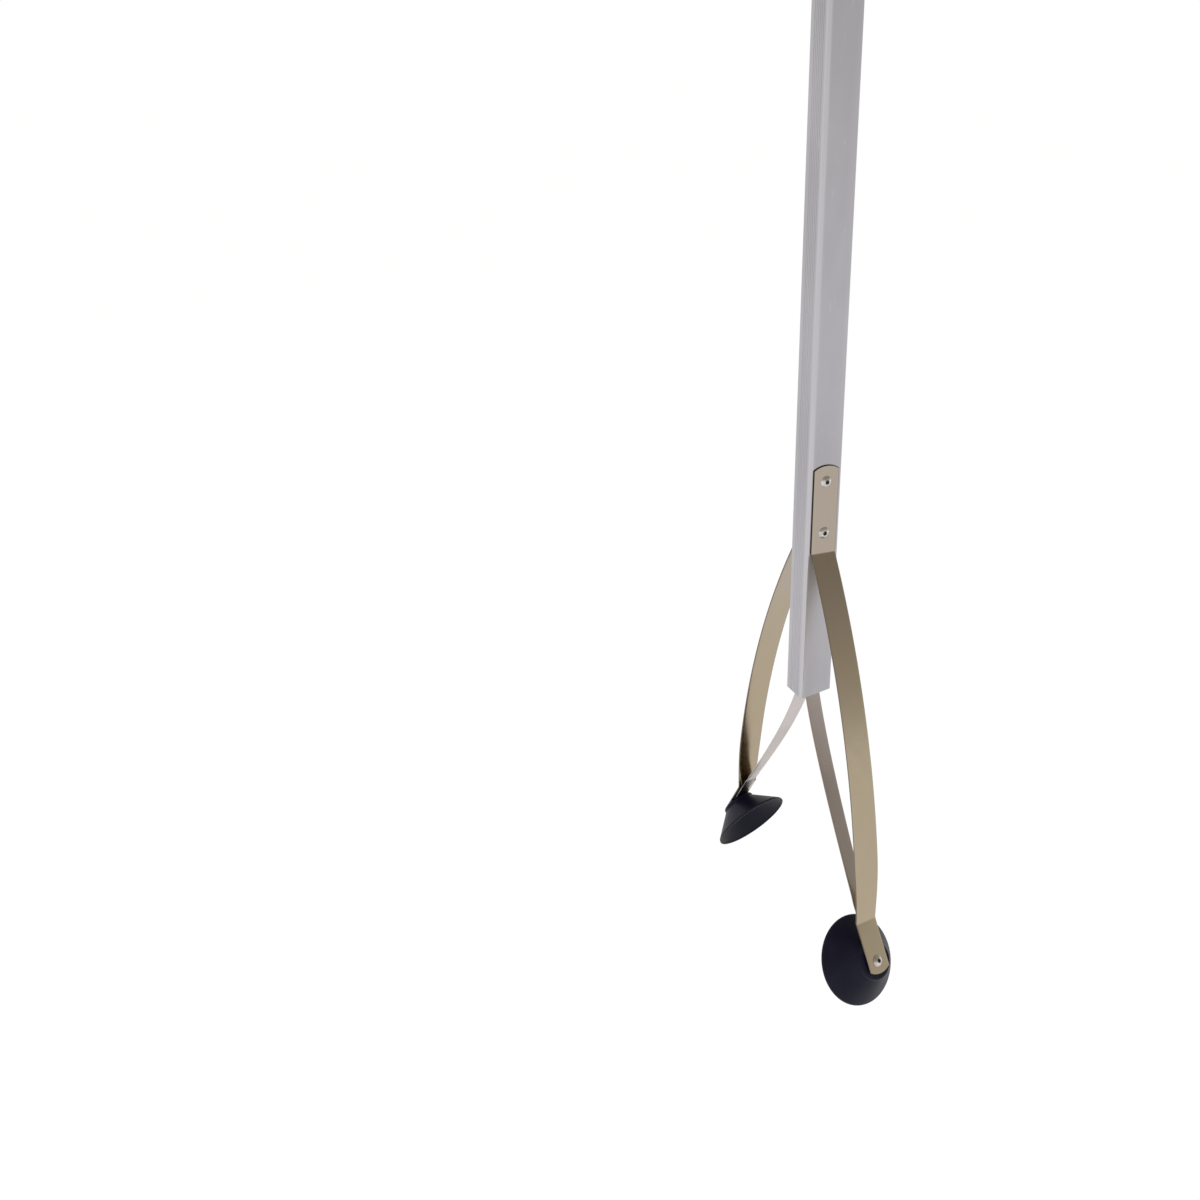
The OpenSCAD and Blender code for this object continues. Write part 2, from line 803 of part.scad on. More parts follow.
// Half of the handle, on the side of Y that the sign gives
module handle_shell(side) {
    low = side > 0 ? 0 : -handle_w / 2;
    cavity_low = side > 0 ? -eps : -cavity_half;
    cavity_high = side > 0 ? cavity_half : eps;
    boss_y = side * (cavity_half + hub_w / 2 + running_gap) / 2;
    boss_len = cavity_half - hub_w / 2 - running_gap;
    hole_deep = side < 0 ? handle_w / 2 : screw_tip + 1;
    hole_r = screw_r + (side < 0 ? screw_play : hole_clearance);
    color(charcoal)
        difference() {
            union() {
                difference() {
                    slab(low, low + handle_w / 2)
                        tangent_shape(handle_circles);
                    intersection() {
                        slab(cavity_low, cavity_high)
                            tangent_shape(handle_circles, handle_wall);
                        translate([-2 * grip_reach, -handle_w, lip_top])
                            cube([4 * grip_reach, 2 * handle_w, 2 * grip_reach]);
                    }
                }
                translate([0, boss_y, 0])
                    cross_pin([trigger_arm, pivot_z], pivot_pin_r + 4, boss_len);
                for (i = [2 : 4])
                    translate([0, side * cavity_half / 2, 0])
                        cross_pin(screw_places[i], screw_boss_r, cavity_half);
                translate([0, side * cavity_half / 2, 0])
                    cross_pin([0, channel_len + hang_rise], hang_boss_r, cavity_half);
            }
            difference() {
                translate([
                    -channel_w / 2 - channel_clearance,
                    -channel_d / 2 - channel_clearance,
                    channel_len - barrel_len - 1
                ])
                    cube([
                        channel_w + 2 * channel_clearance,
                        channel_d + 2 * channel_clearance,
                        barrel_len + guide_flange + 1 + channel_clearance
                    ]);
                translate([0, side * (channel_d / 2 - channel_wall - peg_reach + handle_w / 4), 0])
                    cross_pin([0, peg_z], peg_r, handle_w / 2);
            }
            translate([-clevis_way / 2, -cheek_half - web_room, channel_len])
                cube([clevis_way, 2 * (cheek_half + web_room), lip_top - channel_len + eps]);
            translate([-2 * body_front, -slot_half, slot_low])
                cube([2 * body_front - clevis_w, 2 * slot_half, slot_high - slot_low]);
            cross_pin([trigger_arm, pivot_z], pivot_pin_r + hole_clearance, 2 * cavity_half);
            cross_pin([0, channel_len + hang_rise], hang_r, 2 * handle_w);
            for (p = screw_places) {
                translate([0, side * hole_deep / 2, 0])
                    cross_pin(p, hole_r, hole_deep + 2 * eps);
                if (side < 0)
                    translate([0, -handle_w / 2, 0])
                        cross_pin(p, screw_head_r + screw_play, 2 * (screw_head_h + head_recess));
            }
        }
}

module handle_screws() {
    head_y = -handle_w / 2 + screw_head_h + head_recess;
    cross_w = 0.7;
    cross_len = 4;
    cross_deep = 1;
    color(bright)
        for (p = screw_places)
            difference() {
                union() {
                    translate([0, (head_y + screw_tip) / 2, 0])
                        cross_pin(p, screw_r, screw_tip - head_y);
                    translate([0, head_y - screw_head_h / 2, 0])
                        cross_pin(p, screw_head_r, screw_head_h);
                }
                for (a = [0, 90])
                    translate([p[0], head_y - screw_head_h, p[1]])
                        rotate([0, a, 0])
                            cube([cross_w, 2 * cross_deep, cross_len], center = true);
            }
}

from_hang_hole() channel();
from_hang_hole() arm_root();  // right_arm_root
from_hang_hole() left() arm_root();  // left_arm_root
from_hang_hole() arm_rivets();  // right_arm_rivets
from_hang_hole() left() arm_rivets();  // left_arm_rivets
from_hang_hole() handle_shell(-1);  // handle_front_shell
from_hang_hole() handle_shell(1);  // handle_back_shell
from_hang_hole() handle_screws();
from_hang_hole() rod_guide();
from_hang_hole() trigger_pin();
from_hang_hole() trigger();
from_hang_hole() pull_rod();
from_hang_hole() rod_clevis();
from_hang_hole() link_pin();
from_hang_hole() strip_clamp();
from_hang_hole() clamp_rivet();
from_hang_hole() strip_leg();  // right_strip_leg
from_hang_hole() left() strip_leg();  // left_strip_leg
from_hang_hole() arm_mid();  // right_arm_mid
from_hang_hole() left() arm_mid();  // left_arm_mid
from_hang_hole() arm_tip();  // right_arm_tip
from_hang_hole() left() arm_tip();  // left_arm_tip
from_hang_hole() strip_tab();  // right_strip_tab
from_hang_hole() left() strip_tab();  // left_strip_tab
from_hang_hole() cup();  // right_cup
from_hang_hole() left() cup();  // left_cup
from_hang_hole() cup_rivet();  // right_cup_rivet
from_hang_hole() left() cup_rivet();  // left_cup_rivet
from_hang_hole() cup_washer();  // right_cup_washer
from_hang_hole() left() cup_washer();  // left_cup_washer
from_hang_hole() pull_strip();  // right_pull_strip
from_hang_hole() left() pull_strip();  // left_pull_strip
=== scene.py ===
"""Looks of a squeeze-grip ball retriever: suction cups on spring-steel arms below a long channel.

Sizes are millimetres in the tool's own frame, where Z runs up the channel from its mouth and the jaws
open along X. to_row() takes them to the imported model's frame, in metres from the hang hole.
"""

from __future__ import annotations

import logging
import math
from collections.abc import Callable
from dataclasses import dataclass, field
from enum import Enum
from typing import Any

import bmesh
import bpy
import numpy as np
from mathutils import Matrix, Vector
from mathutils.geometry import tessellate_polygon

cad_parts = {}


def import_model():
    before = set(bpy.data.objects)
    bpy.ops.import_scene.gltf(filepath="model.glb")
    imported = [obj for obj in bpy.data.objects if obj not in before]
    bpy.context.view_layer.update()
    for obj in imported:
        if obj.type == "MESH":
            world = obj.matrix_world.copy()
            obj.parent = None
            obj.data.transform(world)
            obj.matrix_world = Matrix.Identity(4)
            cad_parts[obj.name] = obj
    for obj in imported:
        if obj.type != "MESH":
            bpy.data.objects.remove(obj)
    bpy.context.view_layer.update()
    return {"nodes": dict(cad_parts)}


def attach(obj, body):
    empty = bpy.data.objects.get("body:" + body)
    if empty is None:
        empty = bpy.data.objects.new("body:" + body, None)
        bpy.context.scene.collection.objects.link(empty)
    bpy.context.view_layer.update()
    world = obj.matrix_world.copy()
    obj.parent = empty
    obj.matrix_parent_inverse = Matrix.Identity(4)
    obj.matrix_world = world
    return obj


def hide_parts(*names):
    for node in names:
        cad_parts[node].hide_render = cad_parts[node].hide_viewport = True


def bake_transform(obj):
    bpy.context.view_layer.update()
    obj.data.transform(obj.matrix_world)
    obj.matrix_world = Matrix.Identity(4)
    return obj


LOG = logging.getLogger("retriever")
MM = 0.001
CHANNEL_LEN = 572.0
HANG_RISE = 64.0
HANG_Z = CHANNEL_LEN + HANG_RISE
SHARP_DEG = 32.0

Material = bpy.types.Material
Pair = tuple[float, float]
Triple = tuple[float, float, float]
Colour = Triple
Circle = Triple
Slope = Callable[[np.ndarray], np.ndarray]


class Side(Enum):
    """The two halves of the jaws, with the sign of X on which each one lies."""

    RIGHT = 1
    LEFT = -1

    @property
    def label(self) -> str:
        """Start of the names of this side's nodes and bodies."""
        return self.name.lower()

    @property
    def turn(self) -> np.ndarray:
        """Matrix that takes a right-hand piece to this side: half a turn about Z for the left side."""
        return np.diag([self.value, self.value, 1.0])


class Half(Enum):
    """The two shells of the handle, with the sign of Y on which each one lies."""

    FRONT = -1
    BACK = 1

    @property
    def node(self) -> str:
        """Name of the CAD node that this shell stands for."""
        return f"handle_{self.name.lower()}_shell"


def to_row(points: np.ndarray) -> np.ndarray:
    """Take points in millimetres from the channel's mouth to metres from the hang hole."""
    return (points - np.array([0.0, 0.0, HANG_Z])) * MM


def smoothstep(t: np.ndarray) -> np.ndarray:
    """0 below 0, 1 above 1 and t²·(3 - 2t) between them."""
    t = np.clip(t, 0.0, 1.0)
    return t * t * (3.0 - 2.0 * t)


# Shader expressions


class Value:
    """An output of a shader node that can stand in an arithmetic expression."""

    def __init__(self, graph: Graph, made: bpy.types.Node, output: int) -> None:
        """Keep a node and its chosen output, which an output node lacks.

        Args:
            graph: The graph that the node is in.
            made: The node.
            output: Number of the output.
        """
        self.graph = graph
        self.made = made
        self.socket = made.outputs[output] if made.outputs else None

    def __add__(self, other: Any) -> Value:
        """Sum with a value or number."""
        return self.graph.math("ADD", self, other)

    def __sub__(self, other: Any) -> Value:
        """This value less a value or number."""
        return self.graph.math("SUBTRACT", self, other)

    def __rsub__(self, other: Any) -> Value:
        """A number less this value."""
        return self.graph.math("SUBTRACT", other, self)

    def __mul__(self, other: Any) -> Value:
        """Product with a value or number."""
        return self.graph.math("MULTIPLY", self, other)

    def __abs__(self) -> Value:
        """This value without its sign."""
        return self.graph.math("ABSOLUTE", self)

    __radd__, __rmul__ = __add__, __mul__


class Graph:
    """A node tree that is filled through one method."""

    def __init__(self, tree: bpy.types.NodeTree) -> None:
        """Start with an empty tree."""
        self.tree = tree
        tree.nodes.clear()

    def node(self, kind: str, inputs: dict[Any, Any], output: int = 0, **settings: Any) -> Value:
        """Add a node, set it up and link it.

        Args:
            kind: Blender's name of the node's type, after ShaderNode.
            inputs: Values or links of its sockets, by name or number.
            output: Number of the output to hand back.
            settings: Attributes of the node, set first; stops fills a colour ramp.

        Returns:
            The chosen output as a Value.
        """
        made = self.tree.nodes.new(f"ShaderNode{kind}")
        for key, setting in settings.items():
            if key == "stops":
                self._fill_ramp(made.color_ramp, setting)
            else:
                setattr(made, key, setting)
        for key, value in inputs.items():
            self.set(made.inputs[key], value)
        return Value(self, made, output)

    def math(self, operation: str, *values: Any) -> Value:
        """Add a Math node on values or numbers."""
        return self.node("Math", dict(enumerate(values)), operation=operation)

    def set(self, socket: bpy.types.NodeSocket, value: Any) -> None:
        """Link a value to a socket, or write a number, vector or colour on it.

        Args:
            socket: The socket.
            value: A Value to link, or what to write.
        """
        if isinstance(value, Value):
            self.tree.links.new(value.socket, socket)
        else:
            socket.default_value = (*value, 1.0) if socket.type == "RGBA" else value

    @staticmethod
    def _fill_ramp(ramp: bpy.types.ColorRamp, stops: list[tuple[float, Colour]]) -> None:
        """Set a colour ramp's stops.

        Args:
            ramp: The colour ramp.
            stops: Position and colour of each stop.
        """
        while len(ramp.elements) < len(stops):
            ramp.elements.new(1.0)
        for element, (position, colour) in zip(ramp.elements, stops):
            element.position = position
            element.color = (*colour, 1.0)


class Paint(Graph):
    """A material with one Principled shader whose inputs are written as Python expressions."""

    def __init__(self, name: str) -> None:
        """Start a material.

        Args:
            name: Its name.
        """
        self.material = bpy.data.materials.new(name)
        self.material.use_nodes = True
        super().__init__(self.material.node_tree)
        self.shader = self.node("BsdfPrincipled", {})
        self.output = self.node("OutputMaterial", {"Surface": self.shader})

    def fill(self, **inputs: Any) -> None:
        """Set the shader's sockets to values or numbers, by socket name with _ for a space."""
        for name, value in inputs.items():
            self.set(self.shader.made.inputs[name.replace("_", " ")], value)

    def object_space(self, scale: Triple = (1.0, 1.0, 1.0)) -> Value:
        """Object coordinates stretched by a factor on each axis."""
        return self.node("Mapping", {"Vector": self.node("TexCoord", {}, 3), "Scale": scale})

    def surface_space(self, scale: Triple = (1.0, 1.0, 1.0)) -> Value:
        """The piece's own UV coordinates, in millimetres, stretched by a factor on each axis."""
        return self.node("Mapping", {"Vector": self.node("UVMap", {}, uv_map="surface"), "Scale": scale})

    def part_of(self, vector: Value, axis: int) -> Value:
        """One component of a vector."""
        return self.node("SeparateXYZ", {0: vector}, axis)

    def place_mm(self, axis: int) -> Value:
        """X, Y or Z in the tool's own frame, in millimetres, with Z counted from the channel's mouth."""
        place = self.part_of(self.object_space((1.0 / MM, 1.0 / MM, 1.0 / MM)), axis)
        return place + HANG_Z if axis == 2 else place

    def noise(self, vector: Value, scale: float, detail: float) -> Value:
        """Fractal noise between about 0.25 and 0.75."""
        return self.node("TexNoise", {"Vector": vector, "Scale": scale, "Detail": detail})

    def smooth(self, value: Value, low: float, high: float) -> Value:
        """0 below low, 1 above high and a smooth step between them."""
        limits = {"Value": value, "From Min": low, "From Max": high}
        return self.node("MapRange", limits, interpolation_type="SMOOTHSTEP")

    def mix(self, factor: Value, first: Any, second: Any) -> Value:
        """Colour that goes from first to second with the factor."""
        return self.node("Mix", {0: factor, 6: first, 7: second}, 2, data_type="RGBA")

    def done(self, height: Value, relief: float, **inputs: Any) -> Material:
        """Set the shader's sockets, with a height between 0 and 1 as its relief in millimetres.

        Args:
            height: Height over the surface.
            relief: Depth that a height of 1 stands for.
            inputs: Values or numbers of the other sockets, as for fill.

        Returns:
            The finished material.
        """
        bump = self.node("Bump", {"Height": height, "Distance": relief * MM, "Strength": 1.0})
        self.fill(Normal=bump, **inputs)
        return self.material


# Finishes


@dataclass(frozen=True)
class ExtrudedAluminium:
    """Satin aluminium with die lines along Z, a painted highlight along two corners and painted contact
    shadow round each arm's plate.
    """

    name: str = "satin_extruded_aluminium"
    light: Colour = (0.485, 0.472, 0.5)
    dull: Colour = (0.43, 0.418, 0.442)
    scratch: Colour = (0.58, 0.57, 0.6)
    # colour of the painted highlight along the two long corners
    rubbed: Colour = (0.56, 0.548, 0.57)
    # colour of the painted contact shadow round each arm's plate
    joint: Colour = (0.07, 0.062, 0.06)
    half_w: float = 7.9
    half_d: float = 8.2
    plate_half: float = 6.35
    plate_low: float = 77.7
    plate_top: float = 121.1
    plate_end_r: float = 11.0
    # width of the painted contact shadow past a plate's outline
    joint_w: float = 0.8
    roughness: float = 0.34
    relief: float = 0.012

    def paint(self) -> Material:
        """Die lines are noise stretched along Z; handling marks are cloudy noise.

        Returns:
            The material.
        """
        p = Paint(self.name)
        lines = p.noise(p.object_space((1.0, 1.0, 0.006)), 2400.0, 4.0)
        clouds = p.noise(p.object_space((1.0, 1.0, 0.35)), 34.0, 3.0)
        nicks = p.smooth(p.noise(p.object_space((1.0, 1.0, 0.12)), 900.0, 2.0), 0.68, 0.74)
        body = p.mix(p.smooth(clouds, 0.35, 0.65), self.dull, self.light)
        # the two long corners get a painted highlight over the metal
        metal = p.mix(self._corner(p), p.mix(nicks * 0.5, body, self.scratch), self.rubbed)
        return p.done(
            lines,
            self.relief,
            # the channel's side faces get a painted contact shadow round each plate
            Base_Color=p.mix(self._round_plate(p), metal, self.joint),
            Roughness=self.roughness + 0.16 * (lines - 0.5) + 0.12 * (clouds - 0.5),
            Metallic=1.0,
        )

    def _corner(self, p: Paint) -> Value:
        """Painted highlight along the two long corners where X and Y differ in sign.

        Args:
            p: The paint to work in.

        Returns:
            1 at the corners, fading out 2 to 3 mm away from them.
        """
        x, y = p.place_mm(0), p.place_mm(1)
        far_x = p.smooth(abs(x), self.half_w - 3.2, self.half_w - 1.2)
        far_y = p.smooth(abs(y), self.half_d - 2.2, self.half_d - 0.8)
        return far_x * far_y * p.smooth(0.0 - x * y, 0.0, 9.0)

    def _round_plate(self, p: Paint) -> Value:
        """Painted contact shadow in the joint round a plate, whose top is an arc.

        Args:
            p: The paint to work in.

        Returns:
            1 on the side faces under a plate, fading out at joint_w from its outline.
        """
        x, y, z = abs(p.place_mm(0)), abs(p.place_mm(1)), p.place_mm(2)
        arc = p.math("SQRT", self.plate_end_r**2 - y * y)
        above = z - (self.plate_top - self.plate_end_r) - arc
        past = p.math("MAXIMUM", y - self.plate_half, above)
        low = p.smooth(z, self.plate_low - 0.2, self.plate_low + self.joint_w)
        face = p.smooth(x, self.half_w - 0.3, self.half_w - 0.1)
        return (1.0 - p.smooth(past, 0.1, self.joint_w)) * low * face


@dataclass(frozen=True)
class SpringSteel:
    """Polished strip with streaks along its length, a tint that warms down its length and sheared edges."""

    name: str
    warm: Colour
    cool: Colour
    edge: Colour
    half_width: float
    roughness: float
    warm_from: float
    warm_to: float
    edge_w: float = 0.22
    relief: float = 0.004

    def paint(self) -> Material:
        """Streaks run along the strip; the tint drifts and warms with the length; edges are edge_w wide.

        Returns:
            The material.
        """
        p = Paint(self.name)
        place = p.surface_space()
        streaks = p.noise(p.surface_space((0.02, 2.2, 1.0)), 2.0, 4.0)
        drift = p.noise(p.surface_space((0.02, 0.05, 1.0)), 1.6, 2.0)
        smudge = p.noise(p.surface_space((0.09, 0.16, 1.0)), 1.3, 3.0)
        across = abs(p.part_of(place, 1)) + 0.2 * (streaks - 0.5)
        sheared = p.smooth(across, self.half_width - self.edge_w, self.half_width - 0.04)
        down = p.smooth(p.part_of(place, 0), self.warm_from, self.warm_to)
        warmth = p.smooth(down + 0.9 * (drift - 0.5) + 0.2 * (smudge - 0.5), 0.0, 1.0)
        return p.done(
            streaks,
            self.relief,
            Base_Color=p.mix(sheared, p.mix(warmth, self.cool, self.warm), self.edge),
            Roughness=self.roughness + 0.14 * (streaks - 0.5) + 0.16 * (smudge - 0.4),
            Metallic=1.0,
        )


@dataclass(frozen=True)
class RivetMetal:
    """Bright drawn metal, with painted shade inside the hole that the mandrel leaves."""

    name: str = "bright_rivet"
    bright: Colour = (0.66, 0.64, 0.61)
    shade: Colour = (0.5, 0.48, 0.45)
    # colour of the painted shade inside the mandrel's hole
    hole: Colour = (0.02, 0.018, 0.016)
    hole_r: float = 1.0
    roughness: float = 0.24
    relief: float = 0.02

    def paint(self) -> Material:
        """Turning marks go with the radius; within the mandrel's radius the hole gets painted shade, dark and
        not metallic.

        Returns:
            The material.
        """
        p = Paint(self.name)
        rings = p.noise(p.surface_space((6.0, 1.0, 1.0)), 2.0, 2.0)
        patina = p.noise(p.object_space(), 700.0, 3.0)
        radius = p.part_of(p.surface_space(), 0)
        open_metal = p.smooth(radius, self.hole_r - 0.08, self.hole_r + 0.06)
        body = p.mix(p.smooth(patina, 0.35, 0.65), self.shade, self.bright)
        return p.done(
            rings,
            self.relief,
            # painted shade in the mandrel's hole, which is also not metallic
            Base_Color=p.mix(open_metal, self.hole, body),
            Roughness=self.roughness + 0.2 * (rings - 0.4) + 0.1 * (patina - 0.5),
            Metallic=open_metal,
        )


@dataclass(frozen=True)
class CupRubber:
    """Matt black rubber with a dusty bloom, faint moulding rings and a scuffed rim."""

    name: str = "black_cup_rubber"
    black: Colour = (0.006, 0.0063, 0.018)
    bloom: Colour = (0.0105, 0.0108, 0.024)
    scuff: Colour = (0.022, 0.022, 0.03)
    rim_r: float = 22.2
    roughness: float = 0.46
    sheen: float = 0.14
    relief: float = 0.04

    def paint(self) -> Material:
        """Rings are a wave of the radius; bloom is cloudy noise; scuffs gather at the rim's radius.

        Returns:
            The material.
        """
        p = Paint(self.name)
        radius = p.part_of(p.surface_space(), 0)
        grain = p.noise(p.object_space(), 1900.0, 3.0)
        clouds = p.noise(p.object_space(), 90.0, 3.0)
        rings = p.math("SINE", radius * 7.0)
        rim = p.smooth(radius + 0.8 * (grain - 0.5), self.rim_r - 0.5, self.rim_r - 0.05)
        body = p.mix(p.smooth(clouds, 0.4, 0.72), self.black, self.bloom)
        return p.done(
            grain * 0.8 + rings * 0.08,
            self.relief,
            Base_Color=p.mix(rim * 0.6, body, self.scuff),
            Roughness=self.roughness + 0.2 * (clouds - 0.5) + 0.14 * (grain - 0.5),
            IOR=1.5,
            Specular_IOR_Level=self.sheen,
        )


@dataclass(frozen=True)
class MouldedPlastic:
    """Spark-textured moulded plastic, polished a little where hands touch it."""

    name: str
    base: Colour
    pale: Colour
    roughness: float
    grain_per_m: float
    sheen: float = 0.45
    relief: float = 0.05

    def paint(self) -> Material:
        """Spark texture is fine noise; touch marks are cloudy noise that smooths the gloss.

        Returns:
            The material.
        """
        p = Paint(self.name)
        grain = p.noise(p.object_space(), self.grain_per_m, 2.0)
        touch = p.noise(p.object_space(), 38.0, 3.0)
        return p.done(
            grain,
            self.relief,
            Base_Color=p.mix(p.smooth(grain * 0.5 + touch * 0.5, 0.38, 0.66), self.base, self.pale),
            Roughness=self.roughness + 0.24 * (touch - 0.5) + 0.12 * (grain - 0.5),
            IOR=1.5,
            Specular_IOR_Level=self.sheen,
        )


@dataclass(frozen=True)
class DrawnSteel:
    """Bright steel with drawing lines along one axis, for the pieces inside the channel and handle."""

    name: str = "drawn_steel"
    bright: Colour = (0.52, 0.52, 0.53)
    grey: Colour = (0.4, 0.4, 0.41)
    stretch: Triple = (1.0, 1.0, 0.01)
    roughness: float = 0.28
    relief: float = 0.01

    def paint(self) -> Material:
        """Drawing lines are noise stretched along the axis that the piece was drawn on.

        Returns:
            The material.
        """
        p = Paint(self.name)
        lines = p.noise(p.object_space(self.stretch), 1800.0, 3.0)
        oil = p.noise(p.object_space(), 120.0, 2.0)
        return p.done(
            lines,
            self.relief,
            Base_Color=p.mix(p.smooth(oil, 0.38, 0.62), self.grey, self.bright),
            Roughness=self.roughness + 0.2 * (lines - 0.5) + 0.1 * (oil - 0.5),
            Metallic=1.0,
        )


# Surfaces


def new_object(name: str, data: Any) -> bpy.types.Object:
    """Put a new object into the scene.

    Args:
        name: Its name.
        data: Its mesh, lamp or camera.

    Returns:
        The object.
    """
    made = bpy.data.objects.new(name, data)
    bpy.context.scene.collection.objects.link(made)
    return made


@dataclass
class Surface:
    """Points in the tool's frame, the faces that join them and their own surface coordinates."""

    points: np.ndarray = field(default_factory=lambda: np.empty((0, 3)))
    faces: list[list[int]] = field(default_factory=list)
    uv: np.ndarray | None = None

    def wall(self, rings: list[np.ndarray], heights: list[Any]) -> tuple[np.ndarray, np.ndarray]:
        """Add rings in X and Z, with quads between neighbours.

        Args:
            rings: Arrays (n, 2), all of one length.
            heights: Y of each ring, which may change along it.

        Returns:
            Point numbers of the first and of the last ring.
        """
        start, n = len(self.points), len(rings[0])
        rows = [np.column_stack([r[:, 0], np.broadcast_to(y, n), r[:, 1]]) for r, y in zip(rings, heights)]
        self.points = np.vstack([self.points, *rows])
        self.faces += (np.array(grid_faces(len(rings), n, True)) + start).tolist()
        first = np.arange(start, start + n)
        return first, first + (len(rings) - 1) * n

    def fill(self, *loops: np.ndarray) -> None:
        """Fill an outline with triangles in X and Z.

        Args:
            loops: Point numbers of the outline, then of the holes that stay open.
        """
        numbers = np.concatenate(loops).tolist()
        lists = [[Vector((x, z, 0.0)) for x, _, z in self.points[loop].tolist()] for loop in loops]
        self.faces += [[numbers[i] for i in face] for face in tessellate_polygon(lists)]

    def joined(self, other: Surface) -> Surface:
        """Put this surface and another one together.

        Args:
            other: The other surface.

        Returns:
            Both as one surface, with surface coordinates where both have them.
        """
        start = len(self.points)
        faces = self.faces + [[i + start for i in face] for face in other.faces]
        uv = None if self.uv is None or other.uv is None else np.vstack([self.uv, other.uv])
        return Surface(np.vstack([self.points, other.points]), faces, uv)

    def moved(self, turn: np.ndarray, shift: np.ndarray | float = 0.0) -> Surface:
        """This surface turned by a matrix and then shifted."""
        return Surface(self.points @ turn.T + shift, self.faces, self.uv)

    def piece(self, name: str, material: Material, sharp_deg: float = SHARP_DEG) -> bpy.types.Object:
        """Make a Blender object of this surface, with doubles merged and faces pointing outwards.

        Args:
            name: Name of the object and of its mesh.
            material: Its material.
            sharp_deg: Edges that turn more than this stay sharp.

        Returns:
            The object, at the origin, with its place in its mesh.
        """
        mesh = bpy.data.meshes.new(name)
        mesh.from_pydata(to_row(self.points).tolist(), [], self.faces)
        if self.uv is not None:
            corners = np.empty(len(mesh.loops), dtype=np.int32)
            mesh.loops.foreach_get("vertex_index", corners)
            layer = mesh.uv_layers.new(name="surface")
            layer.data.foreach_set("uv", self.uv[corners].astype(np.float32).ravel())
        shape = bmesh.new()
        shape.from_mesh(mesh)
        bmesh.ops.remove_doubles(shape, verts=shape.verts, dist=1e-7)
        bmesh.ops.recalc_face_normals(shape, faces=shape.faces)
        shape.to_mesh(mesh)
        shape.free()
        mesh.shade_smooth()
        mesh.set_sharp_from_angle(angle=math.radians(sharp_deg))
        mesh.materials.append(material)
        return new_object(name, mesh)


def grid_faces(rows: int, columns: int, around: bool, closed_rows: bool = False) -> list[list[int]]:
    """Quads of a grid of points stored row by row.

    Args:
        rows: Number of rows.
        columns: Number of points in a row.
        around: Whether each row closes on itself.
        closed_rows: Whether the last row joins the first.

    Returns:
        One list of four point numbers for each quad.
    """
    r = np.arange(rows if closed_rows else rows - 1)[:, None]
    c = np.arange(columns if around else columns - 1)[None, :]
    below, right = (r + 1) % rows, (c + 1) % columns
    corners = [r * columns + c, r * columns + right, below * columns + right, below * columns + c]
    return np.stack([np.broadcast_to(k, (r.size, c.size)).ravel() for k in corners], axis=1).tolist()


def rounded(corners: list[Triple], steps: int = 6) -> np.ndarray:
    """Open line of straight runs whose inner corners are arcs.

    An arc of radius r at a corner that turns by t touches both runs r·tan(t/2) from the corner.

    Args:
        corners: Two coordinates and the radius of each corner, 0 to leave it sharp; the two ends take none.
        steps: Points on each arc.

    Returns:
        Array (n, 2) of points along the line.
    """
    at, radii = np.array(corners)[:, :2], [corner[2] for corner in corners]
    line = [at[:1]]
    for before, here, after, radius in zip(at, at[1:], at[2:], radii[1:]):
        if radius <= 0.0:
            line.append(here[None])
            continue
        a, b = before - here, after - here
        a, b = a / np.linalg.norm(a), b / np.linalg.norm(b)
        half = math.acos(float(np.clip(a @ b, -1.0, 1.0))) / 2.0
        centre = here + (a + b) / np.linalg.norm(a + b) * radius / math.sin(half)
        first, last = here + a * radius / math.tan(half), here + b * radius / math.tan(half)
        t = np.linspace(0.0, 1.0, steps)[:, None]
        ray = (first - centre) * (1.0 - t) + (last - centre) * t
        line.append(centre + ray / np.linalg.norm(ray, axis=1, keepdims=True) * radius)
    return np.vstack([*line, at[-1:]])


def revolve(line: np.ndarray, closed: bool, turns: int) -> Surface:
    """Turn a line of (radius, height) points about Z.

    A point is (r·cos a, r·sin a, h). An open line starts and ends on the axis, where its rings shrink to a
    point that is merged. The surface coordinates are radius and height.

    Args:
        line: Array (n, 2) of radius and height.
        closed: Whether the line closes on itself, as round a hole.
        turns: Points on each ring.

    Returns:
        The closed surface.
    """
    angle = np.linspace(0.0, 2.0 * np.pi, turns, endpoint=False)
    radius, height = line[:, :1], line[:, 1:]
    points = np.dstack([radius * np.cos(angle), radius * np.sin(angle), height + 0.0 * angle]).reshape(-1, 3)
    return Surface(points, grid_faces(len(line), turns, True, closed), np.repeat(line, turns, axis=0))


